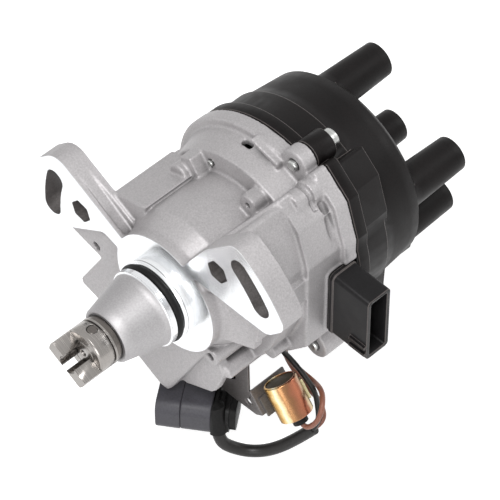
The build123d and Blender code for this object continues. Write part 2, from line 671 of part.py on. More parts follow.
with BuildPart() as inner_race:
    tube(BALL_PITCH_R - RACE_GAP, BEARING_BORE, BEARING_START + 0.02, bearing_end)
    with BuildSketch(Plane.XY):
        with Locations((BALL_PITCH_R, bearing_mid)):
            Circle(BALL_R + 0.06)
    revolve(axis=Axis.Y, mode=Mode.SUBTRACT)
save(inner_race.part, "bearing_inner_race")

ball_spots = [at(BALL_PITCH_R, 360 / BALL_COUNT * n, bearing_mid) for n in range(BALL_COUNT)]
with BuildPart() as balls:
    with Locations(*ball_spots):
        Sphere(BALL_R)
save(balls.part, "bearing_balls")

with BuildPart() as cage:
    tube(BALL_PITCH_R + 0.9, BALL_PITCH_R - 0.9, bearing_mid - 3.0, bearing_mid + 3.0)
    for n in range(BALL_COUNT):
        angle = 360 / BALL_COUNT * n
        rod(at(BALL_PITCH_R - 3, angle, bearing_mid), at(BALL_PITCH_R + 3, angle, bearing_mid), BALL_R + 0.08,
            Mode.SUBTRACT)
save(cage.part, "bearing_cage")

# Ring on the shaft that holds the bearing
with BuildPart() as circlip:
    tube(SHAFT_R + 1.6, UPPER_R + SEAT, ring_groove + 0.02, ring_groove + RETAINER_T - 0.02)
    with BuildSketch(across(ring_groove - 1)):
        with Locations((0, -SHAFT_R)):
            Rectangle(5.0, 6.0)
    extrude(amount=-(RETAINER_T + 2), mode=Mode.SUBTRACT)
save(circlip.part, "shaft_circlip")

# Steel ring that keeps the outer race in the casting
KEEPER_R = 22.0
KEEPER_T = 1.2
with BuildPart() as keeper:
    tube(KEEPER_R, BALL_PITCH_R + RACE_GAP + 0.8, bearing_end, bearing_end + KEEPER_T)
    for place in keeper_spots:
        round_bar(place, 1.5 + SEAT, bearing_end - 1, bearing_end + 3, Mode.SUBTRACT)
save(keeper.part, "bearing_keeper")

small_screw = screw(1.5, 6.0, 2.8, 1.8)
with BuildPart() as keeper_screws:
    for x, z in keeper_spots:
        with Locations(Plane(origin=(x, bearing_end + KEEPER_T, z), z_dir=TOWARDS_CAP)):
            add(small_screw)
save(keeper_screws.part, "keeper_screws")

# Base plate of the crank angle pickup
PLATE_R = 40.5
PLATE_T = 1.6
plate_end = BOWL_FLOOR + PLATE_T
with BuildPart() as base_plate:
    tube(PLATE_R, 20.0, BOWL_FLOOR, plate_end)
    for place in plate_spots:
        round_bar(place, 1.5 + SEAT, BOWL_FLOOR - 1, plate_end + 1, Mode.SUBTRACT)
save(base_plate.part, "pickup_plate")

with BuildPart() as plate_screws:
    for x, z in plate_spots:
        with Locations(Plane(origin=(x, plate_end, z), z_dir=TOWARDS_CAP)):
            add(screw(1.5, 5.0, 2.8, 1.8))
save(plate_screws.part, "pickup_plate_screws")

# Slotted disc that the pickup reads, on its hub
HUB_START = 44.6
SIGNAL_Y = 51.0
SIGNAL_R = 32.0
SIGNAL_T = 0.8
with BuildPart() as hub:
    turned([
        (UPPER_R + SEAT, HUB_START), (9.0, HUB_START), (9.0, SIGNAL_Y - 2.0), (12.0, SIGNAL_Y - 2.0),
        (12.0, SIGNAL_Y), (UPPER_R + SEAT, SIGNAL_Y),
    ])
save(hub.part, "signal_hub")

window_count = 24
with BuildPart() as signal:
    tube(SIGNAL_R, UPPER_R + SEAT, SIGNAL_Y, SIGNAL_Y + SIGNAL_T)
    with BuildSketch(across(SIGNAL_Y - 1)):
        with PolarLocations(28.5, window_count):
            Rectangle(4.0, 2.2)
        with PolarLocations(22.5, 4):
            Rectangle(3.4, 5.0)
    extrude(amount=-(SIGNAL_T + 2), mode=Mode.SUBTRACT)
save(signal.part, "signal_disc")

CLAMP_T = 2.0
with BuildPart() as clamp:
    tube(11.0, UPPER_R + SEAT, SIGNAL_Y + SIGNAL_T, SIGNAL_Y + SIGNAL_T + CLAMP_T)
save(clamp.part, "signal_disc_clamp")

# Optical pickup that straddles the disc, at the side away from the compartment
PICKUP_ANGLE = 212.0
PICKUP_TOP = 57.0
with BuildPart() as pickup:
    with BuildSketch(across(plate_end)):
        with Locations(Location((0, 0), PICKUP_ANGLE)):
            with Locations((30.0, 0)):
                RectangleRounded(19.0, 26.0, 2.5)
    extrude(amount=-(PICKUP_TOP - plate_end))
    with BuildSketch(across(SIGNAL_Y - 1.2)):
        Circle(SIGNAL_R + 1.2)
    extrude(amount=-(SIGNAL_T + 2.4), mode=Mode.SUBTRACT)
save(pickup.part, "optical_pickup")

# Shield between the pickup and the sparks
SHIELD_T = 1.2
SHIELD_HOLE_R = 9.6
with BuildPart() as shield:
    turned([
        (SHIELD_HOLE_R, SHELF - 1.0), (SHIELD_HOLE_R + 1.2, SHELF - 1.0), (SHIELD_HOLE_R + 1.2, SHELF),
        (RIM_R - WALL - 2.1, SHELF), (RIM_R - WALL - 2.1, SHELF + SHIELD_T),
        (SHIELD_HOLE_R, SHELF + SHIELD_T),
    ])
save(shield.part, "dust_shield")

# Rotor: plastic arm on the shaft's top, brass electrode, screw
with BuildPart() as rotor:
    turned([
        (UPPER_R + SEAT, ROTOR_START), (8.0, ROTOR_START), (10.5, ROTOR_PLATE),
        (10.5, ROTOR_PLATE + ROTOR_PLATE_T),
        (0, ROTOR_PLATE + ROTOR_PLATE_T), (0, shaft_top + SEAT), (UPPER_R + SEAT, shaft_top + SEAT),
    ])
    # arm towards the first post, and the counterweight behind it
    with BuildSketch(across(ROTOR_PLATE)):
        with BuildLine():
            Polyline((0, 9.0), (0, -9.0), (24.5, -5.0), (24.5, 5.0), close=True)
        make_face()
    extrude(amount=-ROTOR_PLATE_T)
    with BuildSketch(across(ROTOR_PLATE)):
        with BuildLine():
            tip = polar(19.0, 140.0)
            low = polar(19.0, 220.0)
            ThreePointArc(tip, (-19.0, 0), low)
            Polyline(low, (0, 0), tip)
        make_face()
    extrude(amount=-ROTOR_PLATE_T)
    # key that meets the shaft's flat
    with BuildSketch(across(ROTOR_START)):
        with Locations((0, -UPPER_R + FLAT_DEPTH / 2 - SEAT)):
            Rectangle(UPPER_R, FLAT_DEPTH - SEAT)
    extrude(amount=-(shaft_top - ROTOR_START))
    round_bar((0, 0), 1.6 + SEAT, shaft_top - 1, ROTOR_PLATE + ROTOR_PLATE_T + 1, Mode.SUBTRACT)
rotor_top = ROTOR_PLATE + ROTOR_PLATE_T
save(rotor.part, "rotor_arm")

electrode_top = rotor_top + ELECTRODE_T
with BuildPart() as electrode:
    with BuildSketch(across(rotor_top)):
        Circle(4.6)
        with Locations((ELECTRODE_TIP_R / 2, 0)):
            Rectangle(ELECTRODE_TIP_R, 5.0)
        Circle(ELECTRODE_TIP_R, mode=Mode.INTERSECT)
    extrude(amount=-ELECTRODE_T)
    with BuildSketch(across(rotor_top)):
        with Locations((ELECTRODE_TIP_R - 1.2, 0)):
            Rectangle(2.4, 5.0)
        Circle(ELECTRODE_TIP_R, mode=Mode.INTERSECT)
    extrude(amount=4.0)
    round_bar((0, 0), 1.6 + SEAT, rotor_top - 1, electrode_top + 1, Mode.SUBTRACT)
save(electrode.part, "rotor_electrode")

with BuildPart() as rotor_screw:
    with Locations(Plane(origin=(0, electrode_top, 0), z_dir=TOWARDS_CAP)):
        add(screw(1.6, electrode_top - shaft_top + 6.0, 3.0, 1.8))
save(rotor_screw.part, "rotor_screw")
brush_tip = electrode_top + 1.8

# Gasket under the cap
with BuildPart() as gasket:
    with BuildSketch(across(RIM_BACK)):
        add(rim_face(0.8))
        Circle(RIM_R - WALL - 0.5, mode=Mode.SUBTRACT)
        add(compartment_face(-WALL + 0.5), mode=Mode.SUBTRACT)
        with Locations(*screw_spots):
            Circle(SCREW_R + 0.3, mode=Mode.SUBTRACT)
    extrude(amount=-CAP_GASKET_T)
save(gasket.part, "cap_gasket")

POST_R = 1.7
CONTACT_CUP_R = 2.5
LEAD_T = 1.6


def contact_solid(tower, post, grow, mode=Mode.ADD):
    """One tower's contact: a cup up in the tower, a bar in the roof and a post by the rotor."""
    roof = CAP_TOP - CAP_ROOF
    foot = polar(TOWER_R, tower)
    tip = polar(ELECTRODE_TIP_R + SPARK_GAP + POST_R, post)
    round_bar(tip, POST_R + grow, 76.0, roof + 1.0 + LEAD_T + grow, mode)
    round_bar(foot, CONTACT_CUP_R + grow, roof + 1.0 - grow, TOWER_FLOOR + 9.0, mode)
    length = hypot(foot[0] - tip[0], foot[1] - tip[1])
    turn = degrees(atan2(foot[1] - tip[1], foot[0] - tip[0]))
    with BuildSketch(across(roof + 1.0 - grow)) as bar:
        with Locations(Location(((foot[0] + tip[0]) / 2, (foot[1] + tip[1]) / 2), turn)):
            Rectangle(length + 1.0, 2.4 + 2 * grow)
    extrude(bar.sketch, amount=LEAD_T + 2 * grow, dir=TOWARDS_CAP, mode=mode)


# Cap: moulded cover with four plug towers and the centre tower
cap_inner_top = CAP_TOP - CAP_ROOF
brush_seat = cap_inner_top + 8.0
with BuildPart() as cap:
    turned([
        (0, CAP_START), (CAP_BAND_R, CAP_START), (CAP_BAND_R, CAP_BAND), (CAP_BODY_R, CAP_BAND + 0.8),
        (CAP_BODY_R, CAP_STEP), (CAP_BODY_R - 1.0, CAP_STEP + 0.6), (CAP_TOP_R + 1.2, CAP_TOP - 2.5),
        (CAP_TOP_R - 1.3, CAP_TOP), (0, CAP_TOP),
    ])
    with BuildSketch(across(CAP_START)):
        add(rim_face(0.3))
    extrude(amount=-(CAP_BAND - CAP_START))
    # block that carries the leads of the side tower
    with BuildSketch(across(CAP_START)):
        add(compartment_face(0))
    extrude(amount=-(CAP_STEP + 2 - CAP_START), taper=2.0)
    prism([(16.0, -34.0), (33.0, -30.5), (39.5, -20.0), (40.5, 0.0), (30.0, 8.0), (10.0, -20.0)],
          CAP_STEP, CAP_TOP - 1.5, corner=3.0)
    for radius, angle in SCREW_PLACES:
        lug(radius, angle, CAP_START, LUG_BACK, LUG_R - 0.3)
    # towers, with a little draft
    for angle in TOWER_ANGLES:
        with BuildSketch(across(CAP_TOP - 6)):
            with Locations(polar(TOWER_R, angle)):
                Circle(TOWER_FOOT_R)
        with BuildSketch(across(TOWER_TIP)):
            with Locations(polar(TOWER_R, angle)):
                Circle(TOWER_TIP_R)
        loft()
    with BuildSketch(across(CAP_TOP - 6)):
        Circle(CENTRE_TIP_R + 1.0)
    with BuildSketch(across(CENTRE_TIP)):
        Circle(CENTRE_TIP_R)
    loft()
    # inside
    turned([
        (0, CAP_START - 1), (RIM_R - WALL - 0.5, CAP_START - 1), (RIM_R - WALL - 0.5, CAP_BAND - 2),
        (CAP_BODY_R - CAP_WALL, CAP_BAND), (CAP_TOP_R - CAP_WALL, cap_inner_top), (0, cap_inner_top),
    ], Mode.SUBTRACT)
    with BuildSketch(across(CAP_START - 1)):
        add(compartment_face(-WALL + 0.5))
    extrude(amount=-(CAP_STEP - CAP_START - 3), mode=Mode.SUBTRACT)
    # brush guide and post feet hang from the roof
    disc(GUIDE_R, GUIDE_START, cap_inner_top + 0.5)
    for angle in POST_ANGLES:
        round_bar(polar(ELECTRODE_TIP_R + SPARK_GAP + POST_R, angle), 4.0, GUIDE_START, cap_inner_top + 0.5)
    # bores
    for angle in TOWER_ANGLES:
        round_bar(polar(TOWER_R, angle), TOWER_BORE_R, TOWER_FLOOR, TOWER_TIP + 1, Mode.SUBTRACT)
    round_bar((0, 0), TOWER_BORE_R, brush_seat + 4, CENTRE_TIP + 1, Mode.SUBTRACT)
    disc(BRUSH_R, GUIDE_START - 1, brush_seat + 4, Mode.SUBTRACT)
    for place in screw_spots:
        round_bar(place, SCREW_R + 0.3, CAP_START - 1, LUG_BACK + 1, Mode.SUBTRACT)
        round_bar(place, SCREW_FLANGE_R + 0.3, LUG_BACK, LUG_BACK + SCREW_HEAD_H + 2, Mode.SUBTRACT)
    for tower, post in zip(TOWER_ANGLES, POST_ANGLES):
        contact_solid(tower, post, SEAT, Mode.SUBTRACT)
save(cap.part, "distributor_cap")

# Brass contacts, one from each tower down to the rotor's path
with BuildPart() as contacts:
    for tower, post in zip(TOWER_ANGLES, POST_ANGLES):
        contact_solid(tower, post, 0)
save(contacts.part, "tower_contacts")

# Centre contact, spring and carbon brush
with BuildPart() as centre_contact:
    disc(BRUSH_R - SEAT, brush_seat, brush_seat + 4.0)
    disc(TOWER_BORE_R - SEAT, brush_seat + 4.0, brush_seat + 5.5)
    disc(CONTACT_CUP_R - 0.5, brush_seat + 5.5, brush_seat + 14.0)
save(centre_contact.part, "centre_contact")

brush_end = brush_tip + BRUSH_L
with BuildPart() as brush:
    turned([
        (0, brush_tip), (BRUSH_R - 0.8, brush_tip), (BRUSH_R - RUN, brush_tip + 0.8),
        (BRUSH_R - RUN, brush_end), (0, brush_end),
    ])
save(brush.part, "carbon_brush")

SPRING_WIRE_R = 0.3
with BuildPart() as spring:
    coil_length = brush_seat - brush_end
    with BuildLine() as coil:
        Helix(pitch=(coil_length - 2 * SPRING_WIRE_R - 0.1) / 5, height=coil_length - 2 * SPRING_WIRE_R - 0.1,
              radius=BRUSH_R - 0.6, center=(0, brush_end + SPRING_WIRE_R + 0.05, 0), direction=TOWARDS_CAP)
    with BuildSketch(Plane(origin=coil.line @ 0, z_dir=coil.line % 0)):
        Circle(SPRING_WIRE_R)
    sweep()
save(spring.part, "brush_spring")

# Cap screws: flange heads, cross recess
with BuildPart() as cap_screws:
    for (x, z), front in zip(screw_spots, LUG_FRONTS):
        with Locations(Plane(origin=(x, LUG_BACK, z), z_dir=TOWARDS_CAP)):
            add(screw(SCREW_R, LUG_BACK - front + SCREW_REACH, SCREW_HEAD_R, SCREW_HEAD_H, SCREW_FLANGE_R))
save(cap_screws.part, "cap_screws")

# Ignition module on the compartment's floor
MODULE_START = WELL_START
with BuildPart() as module:
    prism([(33.4, -1.5), (38.8, -1.5), (38.8, 18.0), (33.4, 18.0)], MODULE_START, COMP_STEP, corner=1.0)
    prism([(28.5, 17.5), (37.5, 17.5), (34.5, 27.0), (30.0, 29.0), (27.0, 24.0)],
          MODULE_START, MODULE_START + 4)
save(module.part, "ignition_module")


# Main connector: flange, open shell, pins in a row
pin_spots = [(PLUG_Y, PLUG_Z + (n - (PIN_COUNT - 1) / 2) * PIN_PITCH) for n in range(PIN_COUNT)]
SOCKET_FLOOR = PLUG_BASE_X + 2.2
with BuildPart() as plug_gasket:
    with BuildSketch(connector_plane(pad_x)):
        with Locations((PLUG_Y, PLUG_Z)):
            RectangleRounded(PLUG_W + 2 * PLUG_FLANGE_GROW - 0.6, PLUG_L + 2 * PLUG_FLANGE_GROW - 0.6, 2.7)
            Rectangle(PLUG_W - 3.0, PLUG_L - 3.0, mode=Mode.SUBTRACT)
    extrude(amount=GASKET_T)
save(plug_gasket.part, "connector_gasket")

with BuildPart() as plug:
    with BuildSketch(connector_plane(pad_x + GASKET_T)):
        with Locations((PLUG_Y, PLUG_Z)):
            RectangleRounded(PLUG_W + 2 * PLUG_FLANGE_GROW, PLUG_L + 2 * PLUG_FLANGE_GROW, 3.0)
    extrude(amount=PLUG_FLANGE_T)
    with BuildSketch(connector_plane(PLUG_BASE_X)):
        with Locations((PLUG_Y, PLUG_Z)):
            RectangleRounded(PLUG_W, PLUG_L, 2.0)
    extrude(amount=PLUG_MOUTH_X - PLUG_BASE_X)
    with BuildSketch(connector_plane(SOCKET_FLOOR)):
        with Locations((PLUG_Y, PLUG_Z)):
            RectangleRounded(PLUG_W - 2 * PLUG_WALL, PLUG_L - 2 * PLUG_WALL, 1.0)
    extrude(amount=PLUG_MOUTH_X - SOCKET_FLOOR + 1, mode=Mode.SUBTRACT)
    # keyways and the catch for the mating plug, low on the side that faces the engine
    with BuildSketch(connector_plane(PLUG_MOUTH_X - 9.0)):
        with Locations((PLUG_Y - PLUG_W / 2 - 0.5, PLUG_Z - 9.5), (PLUG_Y - PLUG_W / 2 - 0.5, PLUG_Z - 13.5)):
            Rectangle(1.6, 1.4)
    extrude(amount=9.0)
    for y, z in pin_spots:
        with BuildSketch(connector_plane(pad_x - 5)):
            with Locations((y, z)):
                Rectangle(0.8 + 2 * SEAT, 2.2 + 2 * SEAT)
        extrude(amount=20, mode=Mode.SUBTRACT)
save(plug.part, "main_connector")

with BuildPart() as pins:
    with BuildSketch(connector_plane(pad_x - 4.0)):
        with Locations(*pin_spots):
            Rectangle(0.8, 2.2)
    extrude(amount=PLUG_MOUTH_X - 5.0 - pad_x + 4.0)
save(pins.part, "connector_pins")


# Condenser on its bracket: the can leans by TILT, its strap's flange lies along it
def lean(along, outward, y):
    """A point from the can's middle: along its axis downwards, out from the bracket, and at this y."""
    return (CAN_MID[0] + along * down[0] + outward * out[0], y,
            CAN_MID[2] + along * down[2] + outward * out[2])


can_top = lean(-CAN_L / 2, 0, CAN_MID[1])
can_low = lean(CAN_L / 2, 0, CAN_MID[1])
END_CAP_T = 1.6
with BuildPart() as can:
    rod(can_top, can_low, CAN_R)
    fillet(can.edges().filter_by(GeomType.CIRCLE), 0.8)
    rod(can_top, lean(-CAN_L / 2 + END_CAP_T, 0, CAN_MID[1]), CAN_R - 1.0, Mode.SUBTRACT)
    rod(can_low, lean(CAN_L / 2 - END_CAP_T, 0, CAN_MID[1]), 3.4, Mode.SUBTRACT)
save(can.part, "condenser_can")

with BuildPart() as can_end:
    rod(lean(-CAN_L / 2 + 0.4, 0, CAN_MID[1]), lean(-CAN_L / 2 + END_CAP_T, 0, CAN_MID[1]),
        CAN_R - 1.0 - SEAT)
save(can_end.part, "condenser_end_seal")

BOOT_L = 3.5
with BuildPart() as boot:
    rod(lean(CAN_L / 2 - END_CAP_T, 0, CAN_MID[1]), lean(CAN_L / 2 + BOOT_L, 0, CAN_MID[1]), 3.4 - SEAT)
save(boot.part, "condenser_boot")

# Bracket: a plate across the shaft on the back of the box, and a flange along the can
flange_top = -CAN_R - CLIP_T - SEAT
with BuildPart() as bracket:
    fold_top = lean(-9.0, flange_top - SHEET_T, 0)
    fold_low = lean(3.0, flange_top - SHEET_T, 0)
    prism([
        (2.0, BOX_LOW + 1), (2.0, tail_top), (18.0, tail_top), (fold_low[0] - 3, fold_low[2] - 2),
        (fold_low[0], fold_low[2]), (fold_top[0], fold_top[2]), (BOX_RIGHT - 0.5, -41.0),
        (BOX_RIGHT - 5, -39.6),
        (4.0, -42.0),
    ], BRACKET_Y, BRACKET_Y + SHEET_T)
    with BuildSketch(Plane(origin=lean(-3.0, flange_top - SHEET_T, BRACKET_Y + 9.5), x_dir=down, z_dir=out)):
        Rectangle(12.0, 19.0)
    extrude(amount=SHEET_T)
    round_bar((25.0, -66.0), 1.6, BRACKET_Y - 1, BRACKET_Y + 3, Mode.SUBTRACT)
    round_bar(bracket_spot, 2.0 + SEAT, BRACKET_Y - 1, BRACKET_Y + 3, Mode.SUBTRACT)
save(bracket.part, "condenser_bracket")

with BuildPart() as bracket_screw:
    with Locations(Plane(origin=(bracket_spot[0], BRACKET_Y + SHEET_T, bracket_spot[1]), z_dir=TOWARDS_CAP)):
        add(screw(2.0, 8.0, 3.6, 2.6, 4.2))
save(bracket_screw.part, "bracket_screw")

# Clip that hugs the can's far side, its foot on the bracket's flange
CLIP_W = 9.0
with BuildPart() as clip:
    clip_plane = Plane(origin=lean(-CLIP_W / 2, 0, CAN_MID[1]), x_dir=TOWARDS_CAP, z_dir=down)
    up_side = 1 if clip_plane.y_dir.dot(Vector(*out)) > 0 else -1
    with BuildSketch(clip_plane):
        Circle(CAN_R + SEAT + CLIP_T)
        Circle(CAN_R + SEAT, mode=Mode.SUBTRACT)
        with BuildLine():
            Polyline((0, 0), (0, -up_side * 30), (30, -up_side * 30), (30, up_side * 18), close=True)
        make_face(mode=Mode.INTERSECT)
        with Locations((-4.0, -up_side * (CAN_R + SEAT + CLIP_T / 2))):
            Rectangle(8.0, CLIP_T)
    extrude(amount=CLIP_W)
save(clip.part, "condenser_clip")


# Pigtail plug: lies level, turned between the shaft and the connector's direction
tail_way = (cos(radians(TAIL_TURN)), sin(radians(TAIL_TURN)), 0)


def tail_plane(along):
    """Square to the pigtail plug, this far behind its middle."""
    origin = (TAIL_MID[0] + along * tail_way[0], TAIL_MID[1] + along * tail_way[1], TAIL_MID[2])
    return Plane(origin=origin, x_dir=(-tail_way[1], tail_way[0], 0), z_dir=tail_way)


def tail_block(half_w, half_h, start, end, corner, mode=Mode.ADD):
    """A rounded block along the pigtail plug."""
    with BuildSketch(tail_plane(start)) as face:
        RectangleRounded(2 * half_w, 2 * half_h, corner)
    extrude(face.sketch, amount=end - start, mode=mode)


TAIL_SEAM = -4.0
SOCKET_WALL = 2.0
with BuildPart() as tail_body:
    tail_block(TAIL_HALF_W, TAIL_HALF_H, TAIL_SEAM, TAIL_BACK_L, 5.0)
    tail_block(TAIL_HALF_W - SOCKET_WALL, TAIL_HALF_H - SOCKET_WALL, TAIL_BACK_L - 3.0, TAIL_BACK_L + 1, 3.5,
               Mode.SUBTRACT)
    for side in (-1, 1):
        with BuildSketch(tail_plane(TAIL_SEAM - 1)) as hole:
            with Locations((side * 3.0, 0)):
                Rectangle(1.8, 1.8)
        extrude(hole.sketch, amount=TAIL_BACK_L - TAIL_SEAM, mode=Mode.SUBTRACT)
save(tail_body.part, "pigtail_body")

with BuildPart() as tail_front:
    tail_block(TAIL_HALF_W + 0.3, TAIL_HALF_H + 0.0, -TAIL_FRONT_L, TAIL_SEAM, 5.2)
    tail_block(TAIL_HALF_W - SOCKET_WALL, TAIL_HALF_H - SOCKET_WALL, -TAIL_FRONT_L - 1, TAIL_SEAM - 2.0, 3.2,
               Mode.SUBTRACT)
    for side in (-1, 1):
        with BuildSketch(tail_plane(TAIL_SEAM - 3)) as hole:
            with Locations((side * 3.0, 0)):
                Rectangle(1.8, 1.8)
        extrude(hole.sketch, amount=4, mode=Mode.SUBTRACT)
save(tail_front.part, "pigtail_shroud")

with BuildPart() as tail_pins:
    for side in (-1, 1):
        with BuildSketch(tail_plane(-TAIL_FRONT_L + 3.5)) as pin:
            with Locations((side * 3.0, 0)):
                Rectangle(1.7, 0.8)
        extrude(pin.sketch, amount=TAIL_BACK_L - 3.5 + TAIL_FRONT_L - 3.5)
save(tail_pins.part, "pigtail_terminals")

SEAL_RIBS = 3
SEAL_END = 19.0
ELBOW_R = 4.0
ELBOW_L = 13.0
with BuildPart() as tail_seal:
    # elbow on its side, from which the sleeve leaves downwards
    elbow_end = Vector(*SLEEVE_ROUTE[0])
    elbow_way = (Vector(*SLEEVE_ROUTE[1]) - elbow_end).normalized()
    rod(tuple(elbow_end - elbow_way * ELBOW_L), tuple(elbow_end), ELBOW_R)
    tail_block(2 * TAIL_HALF_W, 2 * TAIL_HALF_H, 0, TAIL_BACK_L + SEAT, 1.0, Mode.SUBTRACT)
    tail_block(TAIL_HALF_W - SOCKET_WALL - 0.05, TAIL_HALF_H - SOCKET_WALL - 0.05,
               TAIL_BACK_L - 3.0, SEAL_END, 3.4)
    for n in range(SEAL_RIBS):
        start = TAIL_BACK_L + 0.6 + n * 2.6
        tail_block(TAIL_HALF_W - 0.8, TAIL_HALF_H - 0.8, start, start + 1.4, 4.6)
    rod(tuple(elbow_end - elbow_way * SEAT), tuple(elbow_end + elbow_way * 2 * SLEEVE_R),
        SLEEVE_R + 0.1, Mode.SUBTRACT)
save(tail_seal.part, "pigtail_seal")

# Grommet where the three leads leave the compartment, square to its low corner wall
GROMMET_FLANGE_R = 5.1
GROMMET_FLANGE_T = 2.0
with BuildPart() as grommet:
    rod(tuple(exit_mid - exit_way * WALL), tuple(exit_mid), GROMMET_R - SEAT)
    rod(tuple(exit_mid), tuple(exit_mid + exit_way * GROMMET_FLANGE_T), GROMMET_FLANGE_R)
    for start in lead_starts:
        rod(tuple(start - exit_way), tuple(start + exit_way * 2 * WALL), WIRE_R + SEAT, Mode.SUBTRACT)
save(grommet.part, "lead_grommet")


def lead(route, radius):
    """A lead along its route: straight runs joined by the largest arcs that they leave room for."""
    points = [Vector(*point) for point in route]
    bends = []
    for before, here, after in zip(points, points[1:], points[2:]):
        first = here - before
        second = after - here
        half_turn = radians(first.get_angle(second)) / 2
        bends.append(0.45 * min(first.length, second.length) / tan(half_turn))
    with BuildPart() as made:
        with BuildLine():
            way = FilletPolyline(*points, radius=bends)
        with BuildSketch(Plane(origin=way @ 0, z_dir=way % 0)):
            Circle(radius)
        sweep()
    expected = pi * radius ** 2 * way.length
    print("lead", round(way.length, 1), "radii", [round(b, 1) for b in bends],
          "volume", round(made.part.volume / expected, 4))
    return made.part


save(lead(SLEEVE_ROUTE, SLEEVE_R), "lead_sleeve")
for start, route, name in zip(lead_starts, (BLACK_ROUTE, CONDENSER_ROUTE, BROWN_ROUTE),
                              ("lead_black", "condenser_lead", "lead_brown")):
    straight = (tuple(start), tuple(start + exit_way * (WALL + LEAD_RUN)))
    save(lead(straight + route, WIRE_R), name)
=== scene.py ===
import json
from math import atan2, degrees, hypot, radians

import bmesh
import bpy
from mathutils import Matrix, Vector


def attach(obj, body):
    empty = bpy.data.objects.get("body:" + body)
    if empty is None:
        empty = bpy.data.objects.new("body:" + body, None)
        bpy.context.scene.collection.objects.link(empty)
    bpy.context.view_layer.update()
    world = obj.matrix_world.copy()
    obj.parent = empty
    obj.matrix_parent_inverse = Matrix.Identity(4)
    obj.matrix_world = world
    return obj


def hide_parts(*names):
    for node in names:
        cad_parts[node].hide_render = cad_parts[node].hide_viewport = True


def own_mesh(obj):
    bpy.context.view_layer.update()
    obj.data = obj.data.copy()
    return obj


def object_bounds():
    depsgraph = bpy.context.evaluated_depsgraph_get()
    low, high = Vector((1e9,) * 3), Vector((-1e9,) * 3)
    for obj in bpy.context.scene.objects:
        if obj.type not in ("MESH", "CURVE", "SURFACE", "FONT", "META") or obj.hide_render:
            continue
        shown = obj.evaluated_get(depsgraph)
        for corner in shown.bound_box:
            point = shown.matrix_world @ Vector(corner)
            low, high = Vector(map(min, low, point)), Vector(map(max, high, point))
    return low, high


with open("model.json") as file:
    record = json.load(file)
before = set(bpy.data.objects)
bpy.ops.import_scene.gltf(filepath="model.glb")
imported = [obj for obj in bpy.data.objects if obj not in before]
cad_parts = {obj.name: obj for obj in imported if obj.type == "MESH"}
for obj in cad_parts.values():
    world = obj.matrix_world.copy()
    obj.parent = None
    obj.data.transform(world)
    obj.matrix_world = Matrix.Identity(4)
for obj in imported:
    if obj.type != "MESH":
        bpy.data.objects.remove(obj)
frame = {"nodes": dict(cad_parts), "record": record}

CAD_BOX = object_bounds()
NODE_SLOTS = {row["node"]: row["material_slot"] for row in frame["record"]["subparts"]}

bl_info = {
    "name": "Ignition distributor",
    "version": (1, 0, 0),
    "blender": (4, 5, 0),
    "location": "View3D > Sidebar > Distributor",
    "description": "Dresses the packed ignition distributor and sets its stage",
    "category": "Object",
}

# The leads' routes as in the part's source, in millimetres
SLEEVE_POINTS = (
    (17.1, 12.2, -84), (18.6, 11.5, -89), (22.3, 15.8, -94), (28, 21.5, -96.5), (34.8, 27, -93.5),
    (41.9, 33, -85.6), (47.3, 38, -77.6),
)
BLACK_POINTS = (
    (30.67, 38.1, -33.21), (25.1, 38.1, -43.28), (29.5, 42.5, -52.5), (36.5, 42, -55), (42.6, 42.4, -60),
    (44.8, 42.2, -66.5), (49.2, 39, -73), (47.65, 36.91, -77.06),
)
CONDENSER_POINTS = (
    (30.67, 41.1, -33.21), (25.1, 41.1, -43.28), (23.6, 43.6, -55), (30.8, 46.5, -62),
    (38.5, 46.5, -62), (46.5, 43, -57.5), (52, 38, -57), (53.2, 35, -62.5), (51, 33.2, -68.5),
    (47.5, 32.2, -71.6), (45.67, 32, -69.55),
)
BROWN_POINTS = (
    (30.67, 44.1, -33.21), (25.1, 44.1, -43.28), (21.6, 45.6, -57), (26, 47.5, -67), (35, 47.5, -71.5),
    (43, 46, -70.5), (49.99, 41.9, -73.62), (47, 39.13, -78.02),
)

# How finely a lead is rounded, and drawn along its run
LEAD_ROUND_STEPS = 5
LEAD_RUN_STEPS = 10

# The slots and hexagonal windows of the ears, in metres and degrees about the shaft
EAR_BACK = 0.0128
SLOT_RADIUS = 0.0658
SLOT_HALF_WIDTH = 0.0046
SLOT_SPANS = ((30.7, 53.5), (161.0, 184.0))
SLOT_END_ANGLE = 4.0
WINDOW_RADIUS = 0.0494
WINDOW_HALF_WIDTH = 0.0056
WINDOW_ANGLES = (51.7, 168.4)
WINDOW_HALF_ANGLE = 6.8

# The casting, in metres along the shaft from the mounting face
FACED_DEPTH = 0.0006
RAW_START = 0.0015
SPIGOT_START = -0.00003
SPIGOT_ROOT = 0.0002
SMOOTHING_PASSES = 3
SMOOTHING_SPARE = 0.0009
WALL_SPARE = 0.0003
CASTING_TRIANGLES = 185000

# How far edges are broken, in metres
PIN_EDGE = 0.0001
SHEET_EDGE = 0.0002
TURNED_EDGE = 0.0003
MOULDED_EDGE = 0.0003
SOFT_EDGE = 0.0005
PLUG_EDGE = 0.0006

# The passivated film: half width and waver in metres, and its colours by their share of the width; the pale
# cream bands from 0.22 to 0.35 are a painted highlight
CAN_RADIUS = 0.0078
FILM_DRIFT = 0.0018
FILM_ENDS = ("A89C7C", "C3B08A")
FILM_AND_HIGHLIGHT_BANDS = (
    (0.06, "9E7A3E"), (0.14, "BE9350"), (0.22, "E6CE98"), (0.27, "F4EACE"), (0.35, "E6CFA2"),
    (0.42, "A57C55"), (0.62, "93694D"), (0.72, "A66D54"), (0.81, "BE785C"), (0.89, "925C46"),
    (0.95, "B89C80"),
)

# The clip is grey up to this far before the can's middle and bright past it, in metres
CLIP_GREY_END = 0.002

